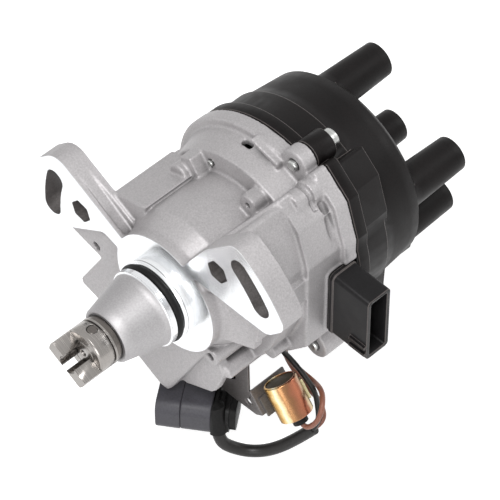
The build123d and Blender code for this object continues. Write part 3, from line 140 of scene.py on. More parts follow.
# The stage: a camera fitted to the photograph, and lamps by place, size and power
CAMERA_PLACE = (0.62214, -0.55925, 0.99583)
CAMERA_RIGHT = (0.698, 0.716, 0.0)
CAMERA_UP = (-0.542, 0.529, 0.653)
CAMERA_LENS = 236.6
CAMERA_SENSOR = 36.0
CAMERA_NEAR = 0.05
CAMERA_FAR = 20.0
LAMPS = (
    ("key", (0.3, -0.5, 1.0), 0.45, 8.5),
    ("front", (0.75, -1.1, 0.35), 0.6, 4.5),
    ("rim", (0.35, 0.95, 0.6), 0.5, 3.0),
)
LAMP_AIM = (0, 0.05, 0)
FLOOR_GAP = 0.002
FLOOR_HALF = 2.5
FLOOR_LIFT = 0.75
SKY_ON_THINGS = 0.38
WHITE = (1.0, 1.0, 1.0, 1.0)

# A colour Mix node's sockets by number, because their names repeat for other kinds of data
MIX_FACTOR, MIX_A, MIX_B, MIX_RESULT = 0, 6, 7, 2

# The materials' names by slot, filled when they are made
FINISH_NAMES = {}


# Colours and nodes

def linear(code):
    """An sRGB hex colour as linear RGBA."""
    steps = [int(code[i:i + 2], 16) / 255 for i in (0, 2, 4)]
    return tuple(s / 12.92 if s <= 0.04045 else ((s + 0.055) / 1.055) ** 2.4 for s in steps) + (1.0,)


def add_node(tree, kind, sockets=None, **settings):
    """Adds one node with its settings. A socket gets a value, or a link from another node's output."""
    node = tree.nodes.new(kind)
    for name, value in settings.items():
        setattr(node, name, value)
    for name, value in (sockets or {}).items():
        if isinstance(value, bpy.types.NodeSocket):
            tree.links.new(value, node.inputs[name])
        else:
            node.inputs[name].default_value = value
    return node


def new_material(name):
    """A material with an empty tree."""
    material = bpy.data.materials.new(name)
    material.use_nodes = True
    material.node_tree.nodes.clear()
    return material, material.node_tree


def close_material(tree, sockets):
    """Ends a material's tree with its shader, whose sockets get these values and links."""
    shader = add_node(tree, "ShaderNodeBsdfPrincipled", sockets)
    add_node(tree, "ShaderNodeOutputMaterial", {"Surface": shader.outputs["BSDF"]})


def per_metre(millimetres):
    """The texture scale that gives features of this size."""
    return 1000.0 / millimetres


def painted_corner_shade(tree, colour, reach, deepest):
    """Darkens a colour in corners with painted shade, from the ambient occlusion within so many millimetres.
    """
    corner = add_node(tree, "ShaderNodeAmbientOcclusion", {"Distance": reach / 1000}, samples=6)
    share = add_node(tree, "ShaderNodeMapRange", {
        "Value": corner.outputs["AO"], "From Min": 0.25, "From Max": 0.85, "To Min": deepest, "To Max": 1.0})
    return add_node(tree, "ShaderNodeMix", {
        MIX_FACTOR: 1.0, MIX_A: colour, MIX_B: share.outputs["Result"],
    }, data_type="RGBA", blend_type="MULTIPLY").outputs[MIX_RESULT]


def seen_directly(tree):
    """1 for what the camera sees, straight, mirrored or through glass, and 0 for light on other things."""
    path = add_node(tree, "ShaderNodeLightPath")
    seen = add_node(tree, "ShaderNodeMath", {
        0: path.outputs["Is Camera Ray"], 1: path.outputs["Is Glossy Ray"]}, operation="MAXIMUM")
    seen = add_node(tree, "ShaderNodeMath", {
        0: seen.outputs["Value"], 1: path.outputs["Is Transmission Ray"]}, operation="MAXIMUM")
    return seen.outputs["Value"]


# Finishes

def grained(name, dark, light, grain, patch, smooth, rough, depth, metal=0.0, specular=0.5):
    """A finish with fine grain and slow patches of colour and gloss.

    grain, patch and depth are in millimetres. Real moulded, rolled and cast skins have a grain of 0.05 to
    0.3 mm. It is drawn at 0.5 to 0.9 mm, because the render shows nothing finer, and a little finer on the
    small pieces inside.
    """
    material, tree = new_material(name)
    place = add_node(tree, "ShaderNodeTexCoord").outputs["Object"]
    fine = add_node(tree, "ShaderNodeTexNoise", {
        "Vector": place, "Scale": per_metre(grain), "Detail": 3.0, "Roughness": 0.6})
    slow = add_node(tree, "ShaderNodeTexNoise", {
        "Vector": place, "Scale": per_metre(patch), "Detail": 4.0, "Roughness": 0.55})
    both = add_node(tree, "ShaderNodeMix", {
        "Factor": 0.45, "A": fine.outputs["Fac"], "B": slow.outputs["Fac"]}, data_type="FLOAT")
    share = add_node(tree, "ShaderNodeMapRange", {
        "Value": both.outputs["Result"], "From Min": 0.36, "From Max": 0.64})
    colour = add_node(tree, "ShaderNodeMix", {
        MIX_FACTOR: share.outputs["Result"], MIX_A: dark, MIX_B: light}, data_type="RGBA")
    gloss = add_node(tree, "ShaderNodeMapRange", {
        "Value": slow.outputs["Fac"], "From Min": 0.35, "From Max": 0.65, "To Min": smooth, "To Max": rough})
    relief = add_node(tree, "ShaderNodeBump", {
        "Height": fine.outputs["Fac"], "Strength": 0.6, "Distance": depth / 1000})
    close_material(tree, {
        "Base Color": colour.outputs[MIX_RESULT], "Roughness": gloss.outputs["Result"],
        "Normal": relief.outputs["Normal"], "Metallic": metal, "Specular IOR Level": specular})
    return material


def turned(name, dark, light, spacing, smooth, rough, depth):
    """A lathe-turned metal with fine rings across the shaft's axis, spacing and depth in millimetres.

    The tool's feed is about 0.1 mm. Its rings are drawn at 0.3 to 0.9 mm, so that the render shows them.
    """
    material, tree = new_material(name)
    place = add_node(tree, "ShaderNodeTexCoord").outputs["Object"]
    # along a ring the marks change only every 17 mm or so
    round_scale = per_metre(50 / 3)
    stretched = add_node(tree, "ShaderNodeVectorMath", {
        0: place, 1: (round_scale, per_metre(spacing), round_scale)}, operation="MULTIPLY")
    marks = add_node(tree, "ShaderNodeTexNoise", {
        "Vector": stretched.outputs["Vector"], "Scale": 1.0, "Detail": 2.0, "Roughness": 0.5})
    colour = add_node(tree, "ShaderNodeMix", {
        MIX_FACTOR: marks.outputs["Fac"], MIX_A: dark, MIX_B: light}, data_type="RGBA")
    gloss = add_node(tree, "ShaderNodeMapRange", {
        "Value": marks.outputs["Fac"], "From Min": 0.35, "From Max": 0.65, "To Min": smooth, "To Max": rough})
    relief = add_node(tree, "ShaderNodeBump", {
        "Height": marks.outputs["Fac"], "Strength": 0.5, "Distance": depth / 1000})
    # painted shade darkens the turned metal in its corners
    close_material(tree, {
        "Base Color": painted_corner_shade(tree, colour.outputs[MIX_RESULT], reach=3.0, deepest=0.3),
        "Roughness": gloss.outputs["Result"], "Normal": relief.outputs["Normal"], "Metallic": 1.0})
    return material


def cast_and_machined(look):
    """Die-cast aluminium: satin grey with a fine grain, and bright where a cutter has faced it.

    The flange and ear faces and the spigot lie at or in front of the mounting face, so their place along
    the shaft says what is machined. The cone in front of the spigot is satin, as cast and blasted.
    """
    material, tree = new_material("die_cast_aluminium")
    place = add_node(tree, "ShaderNodeTexCoord").outputs["Object"]
    # shot-blasted grain is about 0.3 mm; drawn at 0.7 mm, the finest that the render shows
    fine = add_node(tree, "ShaderNodeTexNoise", {
        "Vector": place, "Scale": per_metre(0.7), "Detail": 3.0, "Roughness": 0.65})
    # the metal's flow leaves patches some 22 mm wide
    slow = add_node(tree, "ShaderNodeTexNoise", {
        "Vector": place, "Scale": per_metre(22.0), "Detail": 5.0, "Roughness": 0.6})
    both = add_node(tree, "ShaderNodeMix", {
        "Factor": 0.25, "A": fine.outputs["Fac"], "B": slow.outputs["Fac"]}, data_type="FLOAT")
    share = add_node(tree, "ShaderNodeMapRange", {
        "Value": both.outputs["Result"], "From Min": 0.3, "From Max": 0.7})
    # the cutter's marks, about 0.25 mm apart, drawn at 0.6 mm
    lines = add_node(tree, "ShaderNodeVectorMath", {0: place, 1: (0.12, 1.0, 0.12)}, operation="MULTIPLY")
    marks = add_node(tree, "ShaderNodeTexNoise", {
        "Vector": lines.outputs["Vector"], "Scale": per_metre(0.6), "Detail": 2.0})

    # where each finish lies along the shaft
    along = add_node(tree, "ShaderNodeSeparateXYZ", {"Vector": place}).outputs["Y"]
    faced = add_node(tree, "ShaderNodeMapRange", {
        "Value": along, "From Min": 0.00035, "From Max": 0.00015}).outputs["Result"]
    cone = add_node(tree, "ShaderNodeMapRange", {
        "Value": along, "From Min": look.cone_start, "From Max": look.cone_start - 0.0004}).outputs["Result"]
    # painted shadow of a turned relief 0.4 mm wide between the flange and the sealing ring, as a dark band
    ring = add_node(tree, "ShaderNodeMath", {0: along, 1: -0.0036, 2: 0.0002}, operation="COMPARE")
    shadow = add_node(tree, "ShaderNodeMath", {0: ring.outputs["Value"], 1: 0.65}, operation="MULTIPLY")

    # the colours: raw and darkened in corners by painted shade, then bright, satin and the relief's painted
    # shadow over it
    raw = add_node(tree, "ShaderNodeMix", {
        MIX_FACTOR: share.outputs["Result"], MIX_A: tuple(look.cast_dark), MIX_B: tuple(look.cast_light),
    }, data_type="RGBA")
    bright = add_node(tree, "ShaderNodeMix", {
        MIX_FACTOR: marks.outputs["Fac"], MIX_A: linear("D9DBDE"), MIX_B: linear("F6F7F8")}, data_type="RGBA")
    satin = add_node(tree, "ShaderNodeMix", {
        MIX_FACTOR: share.outputs["Result"], MIX_A: linear("9D9B9C"), MIX_B: linear("B3B1B2")},
        data_type="RGBA")
    colour = painted_corner_shade(tree, raw.outputs[MIX_RESULT], reach=5.0, deepest=0.42)
    for factor, over in (
            (faced, bright.outputs[MIX_RESULT]),
            (cone, satin.outputs[MIX_RESULT]),
            (shadow.outputs["Value"], linear("3C3C40"))):
        colour = add_node(tree, "ShaderNodeMix", {
            MIX_FACTOR: factor, MIX_A: colour, MIX_B: over}, data_type="RGBA").outputs[MIX_RESULT]

    gloss = add_node(tree, "ShaderNodeMapRange", {
        "Value": slow.outputs["Fac"], "From Min": 0.35, "From Max": 0.65, "To Min": 0.42, "To Max": 0.56,
    }).outputs["Result"]
    for factor, roughness in ((faced, 0.24), (cone, 0.56)):
        gloss = add_node(tree, "ShaderNodeMix", {
            "Factor": factor, "A": gloss, "B": roughness}, data_type="FLOAT").outputs["Result"]
    height = add_node(tree, "ShaderNodeMix", {
        "Factor": faced, "A": fine.outputs["Fac"], "B": marks.outputs["Fac"]}, data_type="FLOAT")
    relief = add_node(tree, "ShaderNodeBump", {
        "Height": height.outputs["Result"], "Strength": 0.35, "Distance": 0.00012})
    # the raw skin is an oxide film that mirrors little
    metal = add_node(tree, "ShaderNodeMapRange", {"Value": faced, "To Min": 0.35, "To Max": 0.96})
    close_material(tree, {
        "Base Color": colour, "Roughness": gloss, "Metallic": metal.outputs["Result"],
        "Normal": relief.outputs["Normal"]})
    return material


def passivated_zinc(look):
    """Yellow passivated zinc on a drawn steel can: gold with rosy and green bands along the can, and a pale
    band of painted highlight.
    """
    material, tree = new_material("yellow_passivated_zinc")
    place = add_node(tree, "ShaderNodeTexCoord").outputs["Object"]
    # the film's colour changes round the can, over its 15 mm width, and wavers within 6 mm; its pale cream
    # band is a painted highlight
    across = add_node(tree, "ShaderNodeVectorMath", {
        0: place, 1: tuple(look.can_across)}, operation="DOT_PRODUCT")
    drift = add_node(tree, "ShaderNodeTexNoise", {
        "Vector": place, "Scale": per_metre(6.0), "Detail": 3.0, "Roughness": 0.5})
    shift = add_node(tree, "ShaderNodeMapRange", {
        "Value": drift.outputs["Fac"], "To Min": -FILM_DRIFT, "To Max": FILM_DRIFT})
    wavering = add_node(tree, "ShaderNodeMath", {
        0: across.outputs["Value"], 1: shift.outputs["Result"]}, operation="ADD")
    share = add_node(tree, "ShaderNodeMapRange", {
        "Value": wavering.outputs["Value"],
        "From Min": look.can_middle - CAN_RADIUS, "From Max": look.can_middle + CAN_RADIUS})
    film = add_node(tree, "ShaderNodeValToRGB", {"Fac": share.outputs["Result"]})
    stops = film.color_ramp.elements
    for stop, code in zip(stops, FILM_ENDS):
        stop.color = linear(code)
    for position, code in FILM_AND_HIGHLIGHT_BANDS:
        stops.new(position).color = linear(code)
    # scuffs about 1 mm across
    scuff = add_node(tree, "ShaderNodeTexNoise", {
        "Vector": place, "Scale": per_metre(1.2), "Detail": 5.0, "Roughness": 0.7})
    worn = add_node(tree, "ShaderNodeMapRange", {
        "Value": scuff.outputs["Fac"], "From Min": 0.5, "From Max": 0.8, "To Min": 0.0, "To Max": 0.3})
    colour = add_node(tree, "ShaderNodeMix", {
        MIX_FACTOR: worn.outputs["Result"], MIX_A: film.outputs["Color"], MIX_B: tuple(look.can_dark),
    }, data_type="RGBA")
    gloss = add_node(tree, "ShaderNodeMapRange", {
        "Value": scuff.outputs["Fac"], "From Min": 0.3, "From Max": 0.7, "To Min": 0.2, "To Max": 0.36})
    relief = add_node(tree, "ShaderNodeBump", {
        "Height": scuff.outputs["Fac"], "Strength": 0.25, "Distance": 0.00008})
    close_material(tree, {
        "Base Color": colour.outputs[MIX_RESULT], "Roughness": gloss.outputs["Result"],
        "Normal": relief.outputs["Normal"], "Metallic": 1.0})
    return material


def moulded_finishes(look):
    """The plastics, rubbers and other mouldings, by slot."""
    return {
        # moulded polyester: matt black, with flow marks some 12 mm wide
        "black_moulding": grained(
            "moulded_polyester", tuple(look.cap_colour), linear("191616"), grain=0.8, patch=12.0,
            smooth=0.4, rough=0.54, depth=0.03, specular=0.13),
        # the same moulding on its broken edges: greyer, a painted highlight along the edges
        "rubbed_edge": grained(
            "moulded_polyester_edge_highlight", linear("443F3E"), linear("5A5452"), grain=0.8, patch=6.0,
            smooth=0.36, rough=0.5, depth=0.02, specular=0.3),
        # moulded polyamide: black, a little glossier and cooler than the cap
        "connector_black": grained(
            "moulded_polyamide", linear("151415"), linear("1D1C1D"), grain=0.7, patch=10.0,
            smooth=0.34, rough=0.48, depth=0.02, specular=0.16),
        # polyamide coloured grey: an even, soft sheen
        "pigtail_grey": grained(
            "grey_polyamide", tuple(look.pigtail_colour), linear("4B4A50"), grain=0.8, patch=9.0,
            smooth=0.42, rough=0.55, depth=0.02, specular=0.35),
        # moulded rubber: black and dull
        "black_rubber": grained(
            "moulded_rubber", linear("101010"), linear("1B1A1A"), grain=0.8, patch=5.0,
            smooth=0.42, rough=0.6, depth=0.03, specular=0.16),
        # varnished fibre board: olive brown and dull
        "fibre_board": grained(
            "varnished_fibre_board", linear("2F2719"), linear("403522"), grain=0.7, patch=4.0,
            smooth=0.5, rough=0.62, depth=0.02, specular=0.12),
        # moulded phenolic resin: reddish brown under a glossy skin
        "rotor_brown": grained(
            "moulded_phenolic", linear("4A2418"), linear("683524"), grain=0.6, patch=9.0,
            smooth=0.3, rough=0.42, depth=0.01),
        # pressed carbon: dark grey and dull
        "carbon": grained(
            "pressed_carbon", linear("1E1E1F"), linear("333335"), grain=0.3, patch=3.0,
            smooth=0.4, rough=0.6, depth=0.02),
        # extruded vinyl: soft black with a faint gloss
        "lead_black": grained(
            "black_vinyl", linear("141312"), linear("201E1D"), grain=0.9, patch=14.0,
            smooth=0.34, rough=0.5, depth=0.02, specular=0.35),
        # the same vinyl in a dusty brown
        "lead_brown": grained(
            "brown_vinyl", tuple(look.lead_colour), linear("94604C"), grain=0.9, patch=12.0,
            smooth=0.34, rough=0.5, depth=0.02),
    }


def metal_finishes(look):
    """The metals, by slot."""
    return {
        "cast_aluminium": cast_and_machined(look),
        "yellow_passivated": passivated_zinc(look),
        # aluminium cast against the die's cores in the slots and windows: dull, and darker with painted
        # shade, as they see little light
        "cored_wall": grained(
            "window_wall_painted_shade", linear("4E4A49"), linear("6A6665"), grain=0.7, patch=8.0,
            smooth=0.5, rough=0.64, depth=0.03, metal=0.3),
        # turned steel: warm grey and glossy, its rings just visible
        "machined_steel": turned(
            "turned_steel", linear("8A8683"), linear("9F9B97"), spacing=0.5,
            smooth=0.2, rough=0.28, depth=0.0008),
        # hardened steel left dark by its oil bath
        "oiled_steel": turned(
            "hardened_oiled_steel", linear("595552"), linear("7C7773"), spacing=0.8,
            smooth=0.2, rough=0.32, depth=0.004),
        # zinc-plated steel: pale with a slightly cloudy gloss
        "bright_screw": turned(
            "zinc_plated_steel", linear("9B9C9A"), linear("D6D7D5"), spacing=0.9,
            smooth=0.2, rough=0.36, depth=0.01),
        # ground bearing steel: light and almost a mirror
        "bearing_steel": turned(
            "ground_bearing_steel", linear("C4C4C4"), linear("E2E2E2"), spacing=0.3,
            smooth=0.08, rough=0.16, depth=0.002),
        # turned aluminium: light grey with bright rings
        "aluminium_hub": turned(
            "turned_aluminium", linear("C3C4C6"), linear("E4E5E7"), spacing=0.4,
            smooth=0.18, rough=0.3, depth=0.006),
        # plated sheet: dull grey with a rolled grain
        "sheet_steel": grained(
            "plated_sheet_steel", linear("615D5C"), linear("7B7776"), grain=0.6, patch=14.0,
            smooth=0.36, rough=0.5, depth=0.01, metal=0.6),
        # yellow passivated strip: straw, paler than the can
        "pale_strip": grained(
            "pale_passivated_strip", linear("B9AE86"), linear("D8CFA8"), grain=0.5, patch=5.0,
            smooth=0.26, rough=0.4, depth=0.008, metal=0.7),
        # bare brass: yellow with a soft gloss
        "brass": grained(
            "bare_brass", linear("B48A45"), linear("D3AC63"), grain=0.5, patch=8.0,
            smooth=0.2, rough=0.34, depth=0.004, metal=1.0),
        # sintered bronze: brown and matt, as its pores hold oil
        "sintered_bronze": grained(
            "sintered_bronze", linear("7C5A33"), linear("A57D4B"), grain=0.4, patch=4.0,
            smooth=0.38, rough=0.55, depth=0.02, metal=1.0),
        # tin-plated brass: pale grey with a soft gloss
        "plated_contact": grained(
            "tin_plated_brass", linear("C6C2B4"), linear("E0DDD0"), grain=0.5, patch=6.0,
            smooth=0.2, rough=0.32, depth=0.002, metal=1.0),
    }


def finishes():
    """Every finish by its slot. They are made when the first is asked for."""
    if not FINISH_NAMES:
        look = bpy.context.scene.distributor_look
        for slot, material in {**metal_finishes(look), **moulded_finishes(look)}.items():
            FINISH_NAMES[slot] = material.name
    return {slot: bpy.data.materials[name] for slot, name in FINISH_NAMES.items()}


# Pieces and their edges

def merged_form(node):
    """A bmesh of a CAD node, its loose triangles joined."""
    form = bmesh.new()
    form.from_mesh(frame["nodes"][node].data)
    bmesh.ops.remove_doubles(form, verts=form.verts, dist=0.00001)
    return form


def object_from(form, name):
    """An object in the scene from a bmesh, which is freed."""
    mesh = bpy.data.meshes.new(name)
    form.to_mesh(mesh)
    form.free()
    piece = bpy.data.objects.new(name, mesh)
    bpy.context.scene.collection.objects.link(piece)
    return piece


def baked(piece):
    """Applies a piece's modifiers to its mesh."""
    graph = bpy.context.evaluated_depsgraph_get()
    graph.update()
    mesh = bpy.data.meshes.new_from_object(piece.evaluated_get(graph), depsgraph=graph)
    old = piece.data
    piece.modifiers.clear()
    piece.data = mesh
    bpy.data.meshes.remove(old)


def shade(piece, angle):
    """Smooth shading with sharp edges past this angle."""
    piece.data.shade_smooth()
    piece.data.set_sharp_from_angle(angle=radians(angle))


def finish_piece(piece, slot, body, *nodes):
    """Paints a new piece, hides the CAD nodes it stands for and attaches it to what it moves with."""
    piece.data.materials.clear()
    piece.data.materials.append(finishes()[slot])
    if nodes:
        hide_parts(*nodes)
    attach(piece, body)


def dress(node, body, edge, segments=2, angle=32, clamped=True, finish=None, edge_finish=None):
    """Replaces a CAD node by a copy with softly broken edges.

    It has its slot's finish or another, and its edges may have one of their own.
    """
    piece = object_from(merged_form(node), node + "_dressed")
    shade(piece, angle)
    rounding = piece.modifiers.new("edges", "BEVEL")
    rounding.width = edge
    rounding.segments = segments
    rounding.limit_method = "ANGLE"
    rounding.angle_limit = radians(angle)
    rounding.harden_normals = True
    rounding.use_clamp_overlap = clamped
    finish_piece(piece, NODE_SLOTS[node], body, node)
    if finish:
        piece.data.materials[0] = finishes()[finish]
    if edge_finish:
        piece.data.materials.append(finishes()[edge_finish])
        rounding.material = 1
    return piece


# Settings

class DistributorLook(bpy.types.PropertyGroup):
    """Colours and sizes of the distributor's finish."""

    cast_dark: bpy.props.FloatVectorProperty(
        name="Casting, dark", description="Darker grain of the raw casting",
        subtype="COLOR", size=4, min=0.0, max=1.0, default=linear("9E9B9C"))
    cast_light: bpy.props.FloatVectorProperty(
        name="Casting, light", description="Lighter grain of the raw casting",
        subtype="COLOR", size=4, min=0.0, max=1.0, default=linear("BEBBBC"))
    cap_colour: bpy.props.FloatVectorProperty(
        name="Cap", description="Moulded cap and other black mouldings",
        subtype="COLOR", size=4, min=0.0, max=1.0, default=linear("0F0D0D"))
    pigtail_colour: bpy.props.FloatVectorProperty(
        name="Pigtail plug", description="Dark grey moulding of the two-way plug",
        subtype="COLOR", size=4, min=0.0, max=1.0, default=linear("3E3D42"))
    lead_colour: bpy.props.FloatVectorProperty(
        name="Brown leads", description="Insulation of the two brown leads",
        subtype="COLOR", size=4, min=0.0, max=1.0, default=linear("744536"))
    can_dark: bpy.props.FloatVectorProperty(
        name="Condenser scuffs", description="Darker marks on the passivated can",
        subtype="COLOR", size=4, min=0.0, max=1.0, default=linear("8A5A2A"))
    # the can's painted highlight lies along this direction too, with the film's colours
    can_across: bpy.props.FloatVectorProperty(
        name="Across the can", description="Direction across the can in which the film's colour changes",
        subtype="DIRECTION", size=3, default=(0.4696, 0.7970, 0.3797))
    can_middle: bpy.props.FloatProperty(
        name="Can's middle", description="The can's middle measured along that direction",
        subtype="DISTANCE", unit="LENGTH", default=0.0205)
    cone_start: bpy.props.FloatProperty(
        name="Cone start", description="Where the machined spigot ends and the satin cone begins",
        subtype="DISTANCE", unit="LENGTH", default=-0.0118)
    cast_radius: bpy.props.FloatProperty(
        name="Casting's corners", description="Voxel size that rounds the casting's inner and outer corners",
        subtype="DISTANCE", unit="LENGTH", min=0.0004, max=0.003, default=0.00055)
    lead_radius: bpy.props.FloatProperty(
        name="Lead radius", description="Outer radius of the three leads",
        subtype="DISTANCE", unit="LENGTH", min=0.0005, max=0.003, default=0.00115)
    sleeve_radius: bpy.props.FloatProperty(
        name="Sleeve radius", description="Outer radius of the black sleeve",
        subtype="DISTANCE", unit="LENGTH", min=0.001, max=0.006, default=0.0027)


# The casting

def in_window(point, spare):
    """True in the ears' slots and hexagonal windows, and this far outside their walls."""
    if point.y > EAR_BACK:
        return False
    reach = hypot(point.x, point.z)
    turn = degrees(atan2(point.z, point.x)) % 360
    margin = degrees(spare / SLOT_RADIUS)
    if abs(reach - SLOT_RADIUS) < SLOT_HALF_WIDTH + spare:
        past_end = SLOT_END_ANGLE + margin
        return any(first - past_end < turn < last + past_end for first, last in SLOT_SPANS)
    if abs(reach - WINDOW_RADIUS) < WINDOW_HALF_WIDTH + spare:
        return any(abs(turn - middle) < WINDOW_HALF_ANGLE + margin for middle in WINDOW_ANGLES)
    return False


def cut_across(form, y, away, near):
    """Cuts a form across the shaft and clears the side that faces away, forwards or backwards."""
    whole = form.verts[:] + form.edges[:] + form.faces[:]
    bmesh.ops.bisect_plane(form, geom=whole, dist=near, plane_co=(0, y, 0), plane_no=(0, away, 0),
                           clear_outer=True)


def soften_raw_skin(form):
    """Smooths the raw casting and leaves its faced surfaces and the ears' openings as they are."""
    raw = [vert for vert in form.verts if vert.co.y > RAW_START and not in_window(vert.co, SMOOTHING_SPARE)]
    for _ in range(SMOOTHING_PASSES):
        bmesh.ops.smooth_vert(form, verts=raw, factor=0.5, use_axis_x=True, use_axis_y=True, use_axis_z=True)


def face_off(form):
    """Gives the casting a flat mounting face with crisp edges in place of the voxels' front."""
    cut_across(form, FACED_DEPTH, away=-1, near=0.00002)
    rim = [edge for edge in form.edges if edge.is_boundary]
    drawn = bmesh.ops.extrude_edge_only(form, edges=rim)["geom"]
    for item in drawn:
        if isinstance(item, bmesh.types.BMVert):
            item.co.y = 0.0
    front = [item for item in drawn if isinstance(item, bmesh.types.BMEdge) and item.is_boundary]
    bmesh.ops.triangle_fill(form, edges=front, use_dissolve=False)
    form.normal_update()
    wrong = [face for face in form.faces
             if face.normal.y > 0.5 and all(vert.co.y < 0.000001 for vert in face.verts)]
    bmesh.ops.reverse_faces(form, faces=wrong)


def make_casting(voxel):
    """The casting behind its mounting face, with the fillets that a mould gives."""
    piece = object_from(merged_form("housing"), "housing_casting")
    fillets = piece.modifiers.new("fillets", "REMESH")
    fillets.mode = "VOXEL"
    fillets.voxel_size = voxel
    baked(piece)
    form = bmesh.new()
    form.from_mesh(piece.data)
    soften_raw_skin(form)
    face_off(form)
    form.to_mesh(piece.data)
    form.free()
    thin = piece.modifiers.new("thin", "DECIMATE")
    thin.ratio = min(1.0, CASTING_TRIANGLES / (2 * len(piece.data.polygons)))
    baked(piece)
    shade(piece, angle=38)
    finish_piece(piece, "cast_aluminium", "housing", "housing")
    # the walls of the ears' slots and windows get the darker finish, which is painted shade
    piece.data.materials.append(finishes()["cored_wall"])
    for face in piece.data.polygons:
        if face.center.y > 0.0002 and abs(face.normal.y) < 0.6 and in_window(face.center, WALL_SPARE):
            face.material_index = 1


def make_spigot():
    """The spigot in front of the mounting face, which keeps its turned edges."""
    form = merged_form("housing")
    cut_across(form, SPIGOT_START, away=1, near=0.000002)
    for vert in form.verts:
        if vert.co.y > SPIGOT_START - 0.00001:
            vert.co.y = SPIGOT_ROOT
    piece = object_from(form, "housing_spigot")
    shade(piece, angle=25)
    finish_piece(piece, "cast_aluminium", "housing", "housing")


class DISTRIBUTOR_OT_casting(bpy.types.Operator):
    """Dresses the die-cast housing: rounded casting, crisp machined faces and spigot"""

    bl_idname = "distributor.casting"
    bl_label = "Casting"

    def execute(self, context):
        make_casting(context.scene.distributor_look.cast_radius)
        make_spigot()
        return {"FINISHED"}


# The other pieces

class DISTRIBUTOR_OT_cap(bpy.types.Operator):
    """Dresses the moulded cap, its gasket and its screws"""

    bl_idname = "distributor.cap"
    bl_label = "Cap"

    def execute(self, context):
        # the cap's broken edges get a lighter finish, a painted highlight along them
        dress("distributor_cap", "housing", MOULDED_EDGE, angle=55, clamped=False, edge_finish="rubbed_edge")
        dress("cap_gasket", "housing", SHEET_EDGE)
        dress("cap_screws", "housing", SHEET_EDGE)
        return {"FINISHED"}


class DISTRIBUTOR_OT_drive(bpy.types.Operator):
    """Dresses the drive end: shaft, dog, pin, washer and sealing ring"""

    bl_idname = "distributor.drive"
    bl_label = "Drive end"

    def execute(self, context):
        dress("shaft", "rotor", TURNED_EDGE, angle=35)
        dress("drive_dog", "rotor", TURNED_EDGE, angle=35)
        dress("dog_pin", "rotor", SHEET_EDGE, angle=35, finish="oiled_steel")
        # the washer's oil-dark steel is partly its own tone and partly painted shade for the gap between the
        # casting's nose and the dog's collar
        dress("thrust_washer", "rotor", SHEET_EDGE, angle=35, finish="oiled_steel")
        dress("spigot_o_ring", "housing", PIN_EDGE)
        return {"FINISHED"}


class DISTRIBUTOR_OT_connector(bpy.types.Operator):
    """Dresses the six-way connector, its gasket and pins"""

    bl_idname = "distributor.connector"
    bl_label = "Main connector"

    def execute(self, context):
        # the connector's broken edges get the same painted highlight
        dress("main_connector", "housing", MOULDED_EDGE, angle=28, clamped=False, edge_finish="rubbed_edge")
        dress("connector_gasket", "housing", SHEET_EDGE)
        dress("connector_pins", "housing", PIN_EDGE)
        return {"FINISHED"}


class DISTRIBUTOR_OT_condenser(bpy.types.Operator):
    """Dresses the condenser: can, end seal, boot, bracket, clip and screw"""

    bl_idname = "distributor.condenser"
    bl_label = "Condenser"

    def execute(self, context):
        look = context.scene.distributor_look
        dress("condenser_can", "housing", SOFT_EDGE, segments=3)
        dress("condenser_end_seal", "housing", MOULDED_EDGE, finish="fibre_board")
        dress("condenser_boot", "housing", SOFT_EDGE, segments=3)
        dress("condenser_bracket", "housing", MOULDED_EDGE)
        # the clip's tongue beside the can is bright, and its foot on the bracket is grey
        clip = dress("condenser_clip", "housing", SHEET_EDGE, finish="pale_strip")
        clip.data.materials.append(finishes()["sheet_steel"])
        for face in clip.data.polygons:
            if face.center.dot(look.can_across) < look.can_middle - CLIP_GREY_END:
                face.material_index = 1
        dress("bracket_screw", "housing", SHEET_EDGE)
        return {"FINISHED"}


class DISTRIBUTOR_OT_pigtail(bpy.types.Operator):
    """Dresses the two-way plug on its short lead"""

    bl_idname = "distributor.pigtail"
    bl_label = "Pigtail plug"

    def execute(self, context):
        dress("pigtail_body", "housing", PLUG_EDGE, segments=3, angle=40, clamped=False)
        dress("pigtail_shroud", "housing", PLUG_EDGE, segments=3, angle=40, clamped=False)
        dress("pigtail_seal", "housing", MOULDED_EDGE)
        dress("pigtail_terminals", "housing", PIN_EDGE)
        return {"FINISHED"}


def lay_lead(name, points, radius, slot, node):
    """A smooth lead through these points, in millimetres, that stands for a CAD lead."""
    line = bpy.data.curves.new(name, "CURVE")
    line.dimensions = "3D"
    line.bevel_depth = radius
    line.bevel_resolution = LEAD_ROUND_STEPS
    line.use_fill_caps = True
    line.resolution_u = LEAD_RUN_STEPS
    spline = line.splines.new("NURBS")
    spline.points.add(len(points) - 1)
    for target, (x, y, z) in zip(spline.points, points):
        target.co = (x / 1000, y / 1000, z / 1000, 1.0)
    spline.order_u = 3
    spline.use_endpoint_u = True
    piece = bpy.data.objects.new(name, line)
    bpy.context.scene.collection.objects.link(piece)
    finish_piece(piece, slot, "housing", node)


class DISTRIBUTOR_OT_leads(bpy.types.Operator):
    """Lays the three leads and their sleeve as smooth curves, and dresses the grommet"""

    bl_idname = "distributor.leads"
    bl_label = "Leads"

    def execute(self, context):
        look = context.scene.distributor_look
        lay_lead("sleeve", SLEEVE_POINTS, look.sleeve_radius, "lead_black", "lead_sleeve")
        lay_lead("black_lead", BLACK_POINTS, look.lead_radius, "lead_black", "lead_black")
        lay_lead("brown_lead", BROWN_POINTS, look.lead_radius, "lead_brown", "lead_brown")
        lay_lead("brown_condenser_lead", CONDENSER_POINTS, look.lead_radius, "lead_brown", "condenser_lead")
        dress("lead_grommet", "housing", MOULDED_EDGE)
        return {"FINISHED"}


